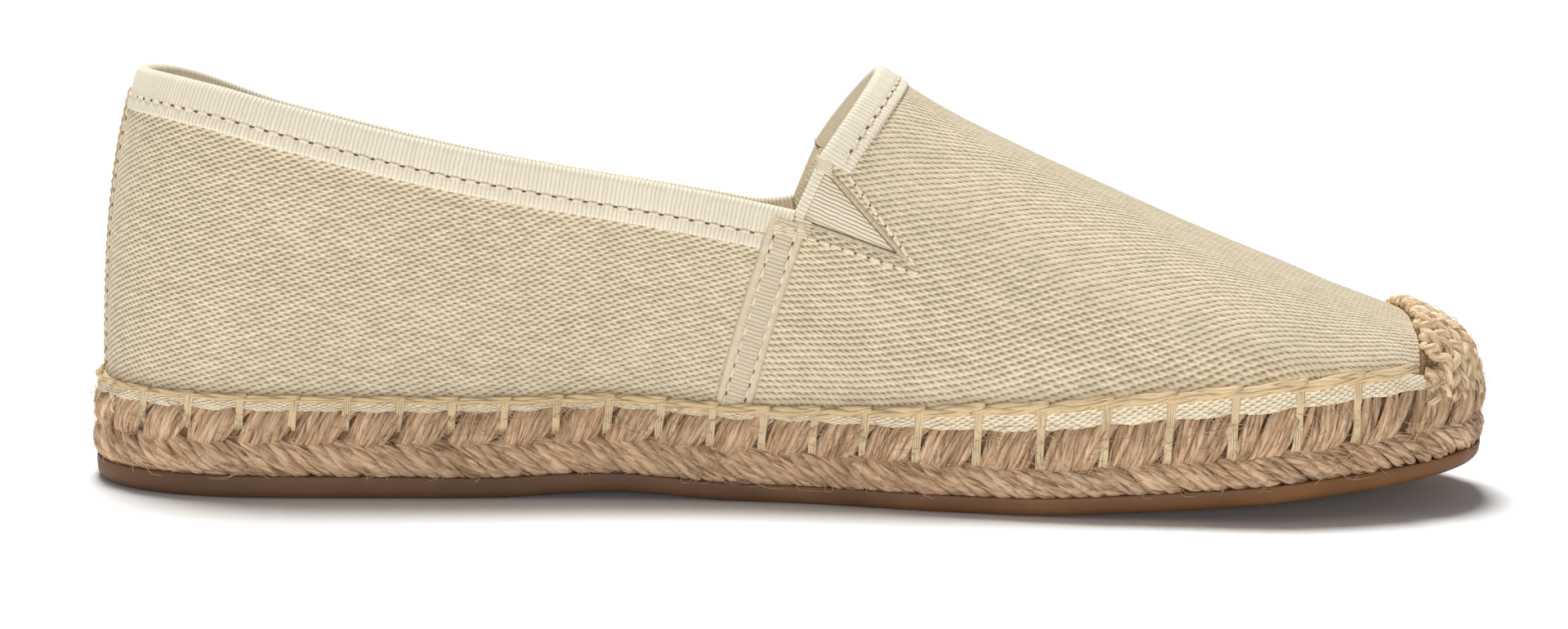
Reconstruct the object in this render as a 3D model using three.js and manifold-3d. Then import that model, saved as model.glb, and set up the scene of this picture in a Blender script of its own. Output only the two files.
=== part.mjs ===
// A left espadrille: canvas slip-on upper, two-row jute sole and a rubber outsole.
// Millimetres. The shoe stands on z = 0 with its toe at +X, and its medial side faces -Y.

import * as THREE from 'three';
import * as BufferGeometryUtils from 'three/addons/utils/BufferGeometryUtils.js';
import Module from 'manifold-3d';

// ---- driving dimensions ----

const HEEL_X = -128.4; // back of the upper at the feather line
const TOE_X = 127.2; // front of the upper at the feather line
const CENTRE_Y = 2.0; // the heel's centre line, so that the whole shoe is centred on y = 0
const TOE_SHIFT = -4.5; // how far the tip of the toe swings to the medial side
const HEEL_CAP = { length: 34, power: 2.25 }; // rounding of the plan at the heel
const TOE_CAP = { length: 50, power: 2.3 }; // rounding of the plan at the toe

const GAP = 0.3; // clearance between neighbouring pieces
const WALL = 1.7; // two layers of canvas
const INSOLE_THICKNESS = 2.6;

const SOLE_PROUD = 2.3; // the jute stands out past the upper
const SOLE_PROUD_AT_TOE = 3.5;
const RUBBER_INSET = 0.3; // the rubber stays inside the widest jute
const RUBBER_ROUND = 1.8; // rounded lower edge of the rubber
const ROW_BULGE = 1.2; // each jute row swells between its joints

const TOE_COVER = { proud: 1.9, backX: 114.4, curl: 0.003 }; // knitted jute cover
const GORE = {
  foot: { x: 1.6, z: 51.9 },
  head: { x: 6.0, z: 61.6 },
  tip: { x: 20.0, z: 46.2 },
  recess: 0.35,
  thickness: 1.2,
};
const LATERAL_DROP = 4.6; // the collar is lower under the outer ankle

// Half widths of the upper at the feather line, before the plan is rounded off at each end.
const PLAN = [
  { x: -129, medial: 31.0, lateral: 31.0 },
  { x: -100, medial: 31.0, lateral: 31.5 },
  { x: -65, medial: 29.5, lateral: 33.0 },
  { x: -32, medial: 27.0, lateral: 35.0 },
  { x: 0, medial: 30.0, lateral: 38.0 },
  { x: 30, medial: 38.0, lateral: 40.0 },
  { x: 55, medial: 42.0, lateral: 40.0 },
  { x: 80, medial: 42.0, lateral: 38.5 },
  { x: 103, medial: 38.5, lateral: 36.0 },
  { x: 128, medial: 35.0, lateral: 34.0 },
];

// Thickness of the sole's layers along the shoe.
const SOLE = [
  { x: -131, rubber: 4.3, jute: 12.8 },
  { x: -85, rubber: 4.2, jute: 12.0 },
  { x: -50, rubber: 3.9, jute: 12.2 },
  { x: -30, rubber: 3.6, jute: 12.2 },
  { x: 0, rubber: 3.4, jute: 12.0 },
  { x: 30, rubber: 3.3, jute: 12.0 },
  { x: 65, rubber: 3.4, jute: 13.1 },
  { x: 95, rubber: 3.4, jute: 13.6 },
  { x: 131, rubber: 3.2, jute: 13.2 },
];

// The crest of the last over the foot: its height, how square its section is, and how far the
// ridge leans to the medial side. Behind the throat the crest is only the ankle's direction.
const CREST = [
  { x: -129, height: 102, square: 2.25, ridge: 0 },
  { x: -95, height: 103, square: 2.25, ridge: 0 },
  { x: -50, height: 103, square: 2.2, ridge: 0 },
  { x: -20, height: 98, square: 2.1, ridge: -0.5 },
  { x: 0, height: 88.5, square: 2.05, ridge: -1.5 },
  { x: 18, height: 77.4, square: 2.05, ridge: -2.5 },
  { x: 30, height: 70.2, square: 2.1, ridge: -3.0 },
  { x: 45, height: 63.0, square: 2.15, ridge: -3.5 },
  { x: 60, height: 56.4, square: 2.2, ridge: -4.0 },
  { x: 75, height: 49.9, square: 2.25, ridge: -4.5 },
  { x: 90, height: 44.0, square: 2.3, ridge: -5.0 },
  { x: 104, height: 39.4, square: 2.35, ridge: -5.0 },
  { x: 118, height: 36.8, square: 2.35, ridge: -5.0 },
  { x: 128, height: 35.5, square: 2.35, ridge: -5.0 },
];
const RIDGE_FROM_X = -97; // the stations fan out around these two ends of the ridge
const RIDGE_TO_X = 86;
const WALL_SWELL = 1.3; // the wall swells over the feather line before it leans in

// The top edge of the upper, seen from the medial side.
const COLLAR = [
  { x: -135, z: 76.6 },
  { x: -120, z: 75.9 },
  { x: -106, z: 73.7 },
  { x: -91, z: 70.0 },
  { x: -69, z: 64.6 },
  { x: -54, z: 61.5 },
  { x: -39, z: 58.9 },
  { x: -20, z: 55.9 },
  { x: -6, z: 53.4 },
  { x: 1.6, z: 51.9 },
];
const THROAT_TOP = { x: 17.8, z: 78.0 };
const THROAT_MID = { x: 11.0, z: 69.2 };

// The ground line: flat under the heel and the ball, lifted at the arch and the toe.
const ARCH = { x: -32, reach: 24, lift: 1.2 };
const SPRING = { fromX: 42, rise: 7.6, power: 1.3 };

const STATIONS = 44; // per side, from heel to toe
const WALL_ROWS = 12; // from the feather line to the ridge
const CAP_ROWS = 4; // across a flat face, from the edge to the middle

const wasm = await Module();
wasm.setup();

// ---- small mathematics ----

function smoothstep(from, to, value) {
  const t = Math.min(1, Math.max(0, (value - from) / (to - from)));
  return t * t * (3 - 2 * t);
}

// A smooth curve through one column of a table, with no overshoot between its rows.
function columnOf(table, name) {
  const slopes = table.slice(1).map(
    (row, i) => (row[name] - table[i][name]) / (row.x - table[i].x),
  );
  const tangents = table.map((row, i) => {
    if (i === 0) return slopes[0];
    if (i === table.length - 1) return slopes[i - 1];
    if (slopes[i - 1] * slopes[i] <= 0) return 0;
    return (2 * slopes[i - 1] * slopes[i]) / (slopes[i - 1] + slopes[i]);
  });
  return (at) => {
    const clamped = Math.min(table.at(-1).x, Math.max(table[0].x, at));
    let i = 0;
    while (i < table.length - 2 && clamped > table[i + 1].x) i += 1;
    const width = table[i + 1].x - table[i].x;
    const t = (clamped - table[i].x) / width;
    const rise = table[i + 1][name] - table[i][name];
    const start = tangents[i] * width;
    const end = tangents[i + 1] * width;
    return table[i][name] + start * t
      + (3 * rise - 2 * start - end) * t * t
      + (start + end - 2 * rise) * t * t * t;
  };
}

const medialWidth = columnOf(PLAN, 'medial');
const lateralWidth = columnOf(PLAN, 'lateral');
const rubberThickness = columnOf(SOLE, 'rubber');
const juteThickness = columnOf(SOLE, 'jute');
const crestHeight = columnOf(CREST, 'height');
const crestSquare = columnOf(CREST, 'square');
const crestRidge = columnOf(CREST, 'ridge');
const collarHeight = columnOf(COLLAR, 'z');

// ---- heights along the shoe ----

function groundZ(x) {
  const arch = ARCH.lift * (1 - smoothstep(0, ARCH.reach, Math.abs(x - ARCH.x)));
  const along = Math.max(0, (x - SPRING.fromX) / (TOE_X + SOLE_PROUD_AT_TOE - SPRING.fromX));
  return arch + SPRING.rise * along ** SPRING.power;
}

const rubberTopZ = (x) => groundZ(x) + rubberThickness(x);
const featherZ = (x) => rubberTopZ(x) + juteThickness(x);

function soleProud(x) {
  return SOLE_PROUD + (SOLE_PROUD_AT_TOE - SOLE_PROUD) * smoothstep(100, TOE_X, x);
}

// ---- plan of the last ----

function endRounding(x) {
  const intoHeel = (HEEL_X + HEEL_CAP.length - x) / HEEL_CAP.length;
  const intoToe = (x - TOE_X + TOE_CAP.length) / TOE_CAP.length;
  const { power } = intoHeel > 0 ? HEEL_CAP : TOE_CAP;
  const into = Math.min(1, Math.max(0, intoHeel, intoToe));
  return (1 - into ** power) ** (1 / power);
}

const centreY = (x) => CENTRE_Y + TOE_SHIFT * smoothstep(40, TOE_X, x);

// A station is a point of the outline, its outward direction and the ridge point it fans from.
function stationAt(turn, side) {
  const x = (HEEL_X + TOE_X) / 2 - ((TOE_X - HEEL_X) / 2) * Math.cos(turn);
  const width = side < 0 ? medialWidth(x) : lateralWidth(x);
  const y = centreY(x) + side * width * endRounding(x);
  const along = (x - HEEL_X) / (TOE_X - HEEL_X);
  const ridgeX = RIDGE_FROM_X + along * (RIDGE_TO_X - RIDGE_FROM_X);
  return { x, y, ridgeX, ridgeY: CENTRE_Y + crestRidge(ridgeX) };
}

// All the way round: up the medial side from the heel, and back down the lateral side.
function turnsAround() {
  const turns = [];
  for (let k = 0; k <= STATIONS; k += 1) turns.push([(Math.PI * k) / STATIONS, -1]);
  for (let k = STATIONS - 1; k > 0; k -= 1) turns.push([(Math.PI * k) / STATIONS, 1]);
  return turns;
}

function outlineStations() {
  const round = turnsAround().map(([turn, side]) => stationAt(turn, side));
  return round.map((here, i) => {
    const before = round[(i + round.length - 1) % round.length];
    const after = round[(i + 1) % round.length];
    const length = Math.hypot(after.x - before.x, after.y - before.y);
    const outX = (after.y - before.y) / length;
    const outY = -(after.x - before.x) / length;
    return { ...here, outX, outY };
  });
}

const OUTLINE = outlineStations();

function offsetOutline(distanceAt) {
  return OUTLINE.map((s) => {
    const distance = distanceAt(s.x);
    return { ...s, x: s.x + s.outX * distance, y: s.y + s.outY * distance };
  });
}

// ---- closed meshes from rings ----

// Rings are lists of points of equal length. The first and the last ring are zipped shut along
// the middle, where the medial and the lateral points are the same.
function zippedMesh(rings) {
  const count = rings[0].length;
  const positions = rings.flat().flatMap((p) => [p.x, p.y, p.z]);
  const index = [];
  for (let r = 0; r + 1 < rings.length; r += 1) {
    for (let i = 0; i < count; i += 1) {
      const next = (i + 1) % count;
      const [a, b] = [r * count + i, r * count + next];
      const [c, d] = [a + count, b + count];
      index.push(a, b, d, a, d, c);
    }
  }
  const geometry = new THREE.BufferGeometry();
  geometry.setAttribute('position', new THREE.Float32BufferAttribute(positions, 3));
  geometry.setIndex(index);
  return geometry;
}

// Rings that run from the zipped middle out to an edge, over the height given by zAt.
function faceRings(edge, zAt, outward) {
  const rings = [];
  for (let row = 0; row < CAP_ROWS; row += 1) {
    const share = outward ? row / CAP_ROWS : 1 - (row + 1) / CAP_ROWS;
    rings.push(edge.map((s) => {
      const x = s.ridgeX + (s.x - s.ridgeX) * share;
      const y = s.ridgeY + (s.y - s.ridgeY) * share;
      return { x, y, z: zAt(x) };
    }));
  }
  return rings;
}

// A slab between two heights whose edge follows a profile of { up, out } steps.
function slab(bottomZ, topZ, profile, proud) {
  const edges = profile.map(({ up, out }) => offsetOutline((x) => proud(x) + out).map(
    (s) => ({ ...s, z: bottomZ(s.x) + (topZ(s.x) - bottomZ(s.x)) * up }),
  ));
  return zippedMesh([
    ...faceRings(edges[0], bottomZ, true),
    ...edges,
    ...faceRings(edges.at(-1), topZ, false),
  ]);
}

// ---- the form of the upper ----

// A point of the last's surface: turn goes from heel to toe, rise from the feather line (0) to
// the ridge (1). The section from the ridge to the wall is a superellipse.
function formPoint(turn, side, rise) {
  const station = stationAt(turn, side);
  const angle = (rise * Math.PI) / 2;
  const power = crestSquare(station.ridgeX);
  const reach = (Math.cos(angle) ** power + Math.sin(angle) ** power) ** (-1 / power);
  const run = reach * Math.cos(angle);
  const lift = Math.max(0, reach * Math.sin(angle));
  const spanX = station.x - station.ridgeX;
  const spanY = station.y - station.ridgeY;
  const span = Math.hypot(spanX, spanY);
  const swell = (WALL_SWELL * Math.sin(2 * angle) ** 2 * (1 - rise)) / span;
  const x = station.ridgeX + spanX * (run + swell);
  const y = station.ridgeY + spanY * (run + swell);
  const base = featherZ(x);
  return new THREE.Vector3(x, y, base + (crestHeight(x) - base) * lift);
}

// The outward normal, from differences along the two directions of the surface.
function formNormal(turn, side, rise) {
  const step = 0.01;
  const up = formPoint(turn, side, rise + step);
  up.sub(formPoint(turn, side, Math.max(0, rise - step)));
  const atHeel = turn < step;
  const atToe = turn > Math.PI - step;
  const from = atHeel ? formPoint(step, -side, rise) : formPoint(turn - step, side, rise);
  const to = atToe ? formPoint(Math.PI - step, -side, rise) : formPoint(turn + step, side, rise);
  const along = to.sub(from).multiplyScalar(side);
  return up.cross(along).normalize();
}

// A closed form offset from the last's surface, with a skirt that reaches below the feather
// line and is zipped shut underneath.
function lastForm(offset, skirt) {
  const rings = [];
  const up = new THREE.Vector3(0, 0, 1);
  for (let row = 0; row <= WALL_ROWS; row += 1) {
    const rise = row / WALL_ROWS;
    rings.push(turnsAround().map(([turn, side]) => {
      const normal = row === WALL_ROWS ? up : formNormal(turn, side, rise);
      return formPoint(turn, side, rise).addScaledVector(normal, offset);
    }));
  }
  const rim = rings[0].map((p, i) => ({ ...OUTLINE[i], x: p.x, y: p.y }));
  const floorZ = (x) => featherZ(x) + GAP - skirt;
  const skirtRing = rim.map((s) => ({ ...s, z: floorZ(s.x) }));
  return zippedMesh([...faceRings(rim, floorZ, true), skirtRing, ...rings.slice(1)]);
}

// ---- joins and cuts ----

function toSolid(geometry) {
  const bare = geometry.clone();
  bare.deleteAttribute('normal');
  bare.deleteAttribute('uv');
  const merged = BufferGeometryUtils.mergeVertices(bare, 1e-4);
  const index = merged.getIndex().array;
  const kept = [];
  for (let i = 0; i < index.length; i += 3) {
    const [a, b, c] = [index[i], index[i + 1], index[i + 2]];
    if (a !== b && b !== c && a !== c) kept.push(a, b, c);
  }
  return new wasm.Manifold(new wasm.Mesh({
    numProp: 3,
    vertProperties: new Float32Array(merged.getAttribute('position').array),
    triVerts: new Uint32Array(kept),
  }));
}

function toGeometry(solid) {
  const mesh = solid.getMesh();
  const geometry = new THREE.BufferGeometry();
  geometry.setAttribute('position', new THREE.BufferAttribute(mesh.vertProperties, 3));
  geometry.setIndex(new THREE.BufferAttribute(mesh.triVerts, 1));
  return geometry;
}

// How much lower the top edge is at a point towards the lateral side of the quarters.
function lateralDrop(x, y) {
  const along = smoothstep(-126, -98, x) * (1 - smoothstep(-8, 10, x));
  return LATERAL_DROP * smoothstep(-20, 20, y) * along;
}

// A prism across the shoe whose side view is the outline given, sheared by the lateral drop.
function crossCutter(outline) {
  const depth = 130; // wider than the shoe
  const shape = new THREE.Shape(outline.map(({ x, z }) => new THREE.Vector2(x, z)));
  const prism = new THREE.ExtrudeGeometry(shape, { depth, steps: 13, bevelEnabled: false });
  prism.rotateX(Math.PI / 2);
  prism.translate(0, depth / 2, 0);
  const position = prism.getAttribute('position');
  for (let i = 0; i < position.count; i += 1) {
    const drop = lateralDrop(position.getX(i), position.getY(i));
    position.setZ(i, position.getZ(i) - drop);
  }
  return toSolid(prism);
}

function collarCutter() {
  const above = 170; // higher than the crest anywhere
  const edge = [];
  const steps = 26;
  for (let i = 0; i <= steps; i += 1) {
    const x = COLLAR[0].x + ((GORE.foot.x - COLLAR[0].x) * i) / steps;
    edge.push({ x, z: collarHeight(x) });
  }
  const throat = new THREE.QuadraticBezierCurve(
    new THREE.Vector2(GORE.head.x, GORE.head.z),
    new THREE.Vector2(THROAT_MID.x, THROAT_MID.z),
    new THREE.Vector2(THROAT_TOP.x, THROAT_TOP.z),
  );
  const rising = throat.getPoints(6).map((p) => ({ x: p.x, z: p.y }));
  const beyond = {
    x: THROAT_TOP.x + (THROAT_TOP.x - THROAT_MID.x),
    z: THROAT_TOP.z + (THROAT_TOP.z - THROAT_MID.z),
  };
  return crossCutter([
    ...edge, ...rising, beyond,
    { x: beyond.x, z: above },
    { x: COLLAR[0].x, z: above },
  ]);
}

// Where two edges meet, each given as a point, a direction and how far it is moved to its left.
function movedCorner(first, second) {
  const [p, q] = [first, second].map(({ from, to, left }) => {
    const length = Math.hypot(to.x - from.x, to.z - from.z);
    const [dx, dz] = [(to.x - from.x) / length, (to.z - from.z) / length];
    return { x: from.x - dz * left, z: from.z + dx * left, dx, dz };
  });
  const cross = p.dx * q.dz - p.dz * q.dx;
  const along = ((q.x - p.x) * q.dz - (q.z - p.z) * q.dx) / cross;
  return { x: p.x + p.dx * along, z: p.z + p.dz * along };
}

// The triangle of the gore in side view: its two seams moved in, its bound edge moved out.
function goreTriangle(inset, pastEdge) {
  const { foot, head, tip } = GORE;
  const lowerSeam = { from: foot, to: tip, left: inset };
  const upperSeam = { from: tip, to: head, left: inset };
  const boundEdge = { from: head, to: foot, left: -pastEdge };
  return [
    movedCorner(boundEdge, lowerSeam),
    movedCorner(lowerSeam, upperSeam),
    movedCorner(upperSeam, boundEdge),
  ];
}

// ---- pieces ----

function outsoleGeometry() {
  const profile = [
    { up: 0, out: -RUBBER_ROUND },
    { up: 0.12, out: -RUBBER_ROUND * 0.45 },
    { up: 0.38, out: 0 },
    { up: 1, out: 0 },
  ];
  return slab(groundZ, rubberTopZ, profile, (x) => soleProud(x) - RUBBER_INSET);
}

function juteGeometry() {
  const profile = [];
  const rows = 2;
  const steps = 4;
  for (let row = 0; row < rows; row += 1) {
    for (let step = row === 0 ? 0 : 1; step <= steps; step += 1) {
      const up = step / steps;
      profile.push({ up: (row + up) / rows, out: ROW_BULGE * (Math.sin(Math.PI * up) - 1) });
    }
  }
  return slab((x) => rubberTopZ(x) + GAP, featherZ, profile, soleProud);
}

function insoleGeometry() {
  const profile = [{ up: 0, out: 0 }, { up: 0.75, out: 0 }, { up: 1, out: -0.6 }];
  const bottom = (x) => featherZ(x) + GAP;
  const top = (x) => bottom(x) + INSOLE_THICKNESS;
  return slab(bottom, top, profile, () => -WALL - GAP - 0.35);
}

function upperGeometry() {
  const shell = toSolid(lastForm(0, 0)).subtract(toSolid(lastForm(-WALL, 6)));
  const opened = shell.subtract(collarCutter());
  return toGeometry(opened.subtract(crossCutter(goreTriangle(0, 1.5))));
}

function toeCoverGeometry() {
  const { proud, backX, curl } = TOE_COVER;
  const layer = toSolid(lastForm(proud, 0)).subtract(toSolid(lastForm(GAP, 6)));
  const halfWidth = 40;
  const edge = [];
  for (let y = -halfWidth; y <= halfWidth; y += 5) {
    edge.push(new THREE.Vector2(backX + curl * y * y, centreY(TOE_X) + y));
  }
  const frontX = 190;
  edge.push(new THREE.Vector2(frontX, halfWidth), new THREE.Vector2(frontX, -halfWidth));
  const region = new THREE.ExtrudeGeometry(new THREE.Shape(edge), {
    depth: 100, steps: 1, bevelEnabled: false,
  });
  return toGeometry(layer.intersect(toSolid(region)));
}

function goreGeometries() {
  const { recess, thickness } = GORE;
  const outer = toSolid(lastForm(-recess, 0));
  const layer = outer.subtract(toSolid(lastForm(-recess - thickness, 6)));
  const panels = layer.intersect(crossCutter(goreTriangle(GAP, 0)));
  const halves = panels.decompose();
  return halves.map(toGeometry);
}

// ---- materials, one for each stuff the shoe is made of ----

const MATERIALS = {
  canvas: new THREE.MeshStandardMaterial({ color: 0xd2c3a6, roughness: 0.92, metalness: 0 }),
  elastic: new THREE.MeshStandardMaterial({ color: 0xd7cab3, roughness: 0.85, metalness: 0 }),
  jute: new THREE.MeshStandardMaterial({ color: 0xa78564, roughness: 0.9, metalness: 0 }),
  knittedJute: new THREE.MeshStandardMaterial({ color: 0xb89975, roughness: 0.9, metalness: 0 }),
  rubber: new THREE.MeshStandardMaterial({ color: 0x5e4430, roughness: 0.65, metalness: 0 }),
  lining: new THREE.MeshStandardMaterial({ color: 0xe2dacb, roughness: 0.9, metalness: 0 }),
};

function piece(name, geometry, material) {
  const mesh = new THREE.Mesh(geometry, MATERIALS[material].clone());
  mesh.name = name;
  return mesh;
}

const espadrille = new THREE.Group();
espadrille.add(
  piece('outsole', outsoleGeometry(), 'rubber'),
  piece('jute_sole', juteGeometry(), 'jute'),
  piece('insole', insoleGeometry(), 'lining'),
  piece('upper', upperGeometry(), 'canvas'),
  piece('toe_cover', toeCoverGeometry(), 'knittedJute'),
);
const [goreA, goreB] = goreGeometries();
espadrille.add(piece('gore_medial', goreA, 'elastic'), piece('gore_lateral', goreB, 'elastic'));

export default espadrille;
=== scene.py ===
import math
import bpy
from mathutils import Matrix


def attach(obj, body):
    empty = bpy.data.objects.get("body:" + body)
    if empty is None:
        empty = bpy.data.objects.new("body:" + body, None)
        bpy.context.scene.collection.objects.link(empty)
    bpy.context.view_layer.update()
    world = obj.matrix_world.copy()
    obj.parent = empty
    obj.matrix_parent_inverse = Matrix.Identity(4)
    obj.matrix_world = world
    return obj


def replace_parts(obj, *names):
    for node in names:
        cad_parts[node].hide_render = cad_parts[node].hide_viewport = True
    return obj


bl_info = {
    "name": "Canvas Espadrille",
    "version": (1, 0, 0),
    "blender": (4, 5, 0),
    "location": "3D View > Sidebar > Espadrille",
    "description": "Builds a left canvas espadrille with a plaited jute sole piece by piece",
    "category": "Add Mesh",
}

import bmesh
import bpy
import mathutils
import numpy as np

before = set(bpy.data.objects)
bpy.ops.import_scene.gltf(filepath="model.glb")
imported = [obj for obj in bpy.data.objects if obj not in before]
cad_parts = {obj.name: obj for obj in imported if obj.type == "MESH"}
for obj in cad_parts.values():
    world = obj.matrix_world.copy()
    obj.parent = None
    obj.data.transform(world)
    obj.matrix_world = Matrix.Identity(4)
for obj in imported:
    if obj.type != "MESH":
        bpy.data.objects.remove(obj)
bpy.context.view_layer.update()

MM = 0.001
SEED = 20
BODY = "root"

# ---------------------------------------------------------------------------
# The last, in millimetres: the same named sizes and short tables as the frame
# ---------------------------------------------------------------------------

HEEL_X = -128.4
TOE_X = 127.2
CENTRE_Y = 2.0
TOE_SHIFT = -4.5
HEEL_CAP = (34.0, 2.25)
TOE_CAP = (50.0, 2.3)
SOLE_PROUD = 2.3
SOLE_PROUD_AT_TOE = 3.5
RIDGE_FROM_X = -97.0
RIDGE_TO_X = 86.0
WALL_SWELL = 1.3
WALL = 1.7
LATERAL_DROP = 4.6
GORE_FOOT = (1.6, 51.9)
GORE_HEAD = (6.0, 61.6)
GORE_TIP = (21.4, 45.0)
GORE_SEAM_FOOT = (2.2, 51.2)
TAPE_TOP = (0.2, 51.2)
TAPE_FOOT = (-9.9, 16.6)
THROAT_MID = (11.0, 69.2)
THROAT_TOP = (17.8, 78.0)

PLAN = {
    "x": (-129, -100, -65, -32, 0, 30, 55, 80, 103, 128),
    "medial": (31.0, 31.0, 29.5, 27.0, 30.0, 38.0, 42.0, 42.0, 38.5, 35.0),
    "lateral": (31.0, 31.5, 33.0, 35.0, 38.0, 40.0, 40.0, 38.5, 36.0, 34.0),
}
SOLE = {
    "x": (-131, -85, -50, -30, 0, 30, 65, 95, 131),
    "rubber": (4.3, 4.2, 3.9, 3.6, 3.4, 3.3, 3.4, 3.4, 3.2),
    "jute": (12.8, 12.0, 12.2, 12.2, 12.0, 12.0, 13.1, 13.6, 13.2),
}
CREST = {
    "x": (-129, -95, -50, -20, 0, 18, 30, 45, 60, 75, 90, 104, 118, 128),
    "height": (102, 103, 103, 98, 88.5, 77.4, 70.2, 63.0, 56.4, 49.9, 44.0, 39.4, 36.8, 35.5),
    "square": (2.25, 2.25, 2.2, 2.1, 2.05, 2.05, 2.1, 2.15, 2.2, 2.25, 2.3, 2.35, 2.35, 2.35),
    "ridge": (0, 0, 0, -0.5, -1.5, -2.5, -3.0, -3.5, -4.0, -4.5, -5.0, -5.0, -5.0, -5.0),
}
COLLAR = {
    "x": (-135, -120, -106, -91, -69, -54, -39, -20, -6, 1.6),
    "z": (76.6, 75.9, 73.7, 70.0, 64.6, 61.5, 58.9, 55.9, 53.4, 51.9),
}
# How tall the canvas edge shows between the jute and the line of blanket stitches.
EDGE_STRIP = {
    "x": (-130, -100, -60, -30, 0, 20, 40, 80, 110, 130),
    "height": (1.3, 1.3, 1.1, 0.7, 0.8, 1.8, 3.2, 3.3, 2.9, 2.0),
}


def lerp(a, b, t):
    """A straight blend from a at t = 0 to b at t = 1."""
    return a + (b - a) * t


def smoothstep(low, high, value):
    """Rises from 0 at low to 1 at high along 3t^2 - 2t^3."""
    t = np.clip((np.asarray(value, float) - low) / (high - low), 0, 1)
    return t * t * (3 - 2 * t)


def column(table, name):
    """A cubic through one column of a table, with harmonic-mean slopes so that it never overshoots."""
    x = np.array(table["x"], float)
    y = np.array(table[name], float)
    slope = np.diff(y) / np.diff(x)
    inner = np.where(
        slope[:-1] * slope[1:] > 0,
        2 * slope[:-1] * slope[1:] / np.where(slope[:-1] + slope[1:] == 0, 1, slope[:-1] + slope[1:]),
        0,
    )
    tangent = np.concatenate([slope[:1], inner, slope[-1:]])

    def at(value):
        v = np.clip(np.asarray(value, float), x[0], x[-1])
        i = np.clip(np.searchsorted(x, v) - 1, 0, len(x) - 2)
        width = x[i + 1] - x[i]
        t = (v - x[i]) / width
        rise = y[i + 1] - y[i]
        start, end = tangent[i] * width, tangent[i + 1] * width
        return y[i] + start * t + (3 * rise - 2 * start - end) * t**2 + (start + end - 2 * rise) * t**3

    return at


medial_width = column(PLAN, "medial")
lateral_width = column(PLAN, "lateral")
rubber_thickness = column(SOLE, "rubber")
jute_thickness = column(SOLE, "jute")
crest_height = column(CREST, "height")
crest_square = column(CREST, "square")
crest_ridge = column(CREST, "ridge")
collar_height = column(COLLAR, "z")
strip_height = column(EDGE_STRIP, "height")


def ground_z(x):
    """Flat, with a smooth lift of 1.2 at the arch and a power curve of toe spring."""
    arch = 1.2 * (1 - smoothstep(0, 24, np.abs(x + 32)))
    along = np.maximum(0, (x - 42) / (TOE_X + SOLE_PROUD_AT_TOE - 42))
    return arch + 7.6 * along**1.3


def rubber_top_z(x):
    """The top of the rubber: the ground line plus the sheet's thickness."""
    return ground_z(x) + rubber_thickness(x)


def feather_z(x):
    """The feather line, where upper and jute meet: the rubber's top plus the jute."""
    return rubber_top_z(x) + jute_thickness(x)


def sole_proud(x):
    """How far the jute stands out past the feather line, more round the toe."""
    return SOLE_PROUD + (SOLE_PROUD_AT_TOE - SOLE_PROUD) * smoothstep(100, TOE_X, x)


def end_rounding(x):
    """Superellipse factors that close the plan at the heel and at the toe."""
    heel = np.clip((HEEL_X + HEEL_CAP[0] - x) / HEEL_CAP[0], 0, 1)
    toe = np.clip((x - TOE_X + TOE_CAP[0]) / TOE_CAP[0], 0, 1)
    rounded_heel = (1 - heel ** HEEL_CAP[1]) ** (1 / HEEL_CAP[1])
    return rounded_heel * (1 - toe ** TOE_CAP[1]) ** (1 / TOE_CAP[1])


def station(turn):
    """Outline point and ridge point at a turn: 0 at the heel, pi at the toe, on to 2 pi up the
    lateral side. Returns x, y, ridge x, ridge y."""
    turn = np.mod(turn, 2 * np.pi)
    x = (HEEL_X + TOE_X) / 2 - (TOE_X - HEEL_X) / 2 * np.cos(turn)
    medial = turn <= np.pi
    width = np.where(medial, -medial_width(x), lateral_width(x))
    centre = CENTRE_Y + TOE_SHIFT * smoothstep(40, TOE_X, x)
    y = centre + width * end_rounding(x)
    ridge_x = RIDGE_FROM_X + (x - HEEL_X) / (TOE_X - HEEL_X) * (RIDGE_TO_X - RIDGE_FROM_X)
    return x, y, ridge_x, CENTRE_Y + crest_ridge(ridge_x)


def form(turn, rise):
    """The last's surface: a superellipse from the feather line (rise 0) to the ridge (rise 1)."""
    x0, y0, ridge_x, ridge_y = station(turn)
    angle = np.asarray(rise) * np.pi / 2
    power = crest_square(ridge_x)
    cosine = np.maximum(np.cos(angle), 0)
    sine = np.maximum(np.sin(angle), 0)
    reach = (cosine**power + sine**power) ** (-1 / power)
    span_x, span_y = x0 - ridge_x, y0 - ridge_y
    swell = WALL_SWELL * np.sin(2 * angle) ** 2 * (1 - rise) / np.hypot(span_x, span_y)
    x = ridge_x + span_x * (reach * cosine + swell)
    y = ridge_y + span_y * (reach * cosine + swell)
    base = feather_z(x)
    z = base + (crest_height(x) - base) * reach * sine
    return np.stack(np.broadcast_arrays(x, y, z), -1)


def unit(v):
    """Vectors divided by their lengths."""
    return v / np.maximum(np.linalg.norm(v, axis=-1, keepdims=True), 1e-9)


SMALL_TURN = 0.004


def form_normal(turn, rise):
    """Outward normal: cross product of the differences along turn and along rise."""
    rise = np.clip(rise, 0, 0.985)
    around = form(turn + SMALL_TURN, rise) - form(turn - SMALL_TURN, rise)
    up = form(turn, rise + 0.01) - form(turn, np.maximum(rise - 0.01, 0))
    return unit(np.cross(around, up))


# ---- the feather line as a loop measured in millimetres ----

LOOP_TURN = np.linspace(0, 2 * np.pi, 2881)
_lx, _ly, _, _ = station(LOOP_TURN)
LOOP_LENGTH = np.concatenate([[0], np.cumsum(np.hypot(np.diff(_lx), np.diff(_ly)))])
LOOP = LOOP_LENGTH[-1]
MIDWAY = np.interp(np.pi, LOOP_TURN, LOOP_LENGTH)


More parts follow.
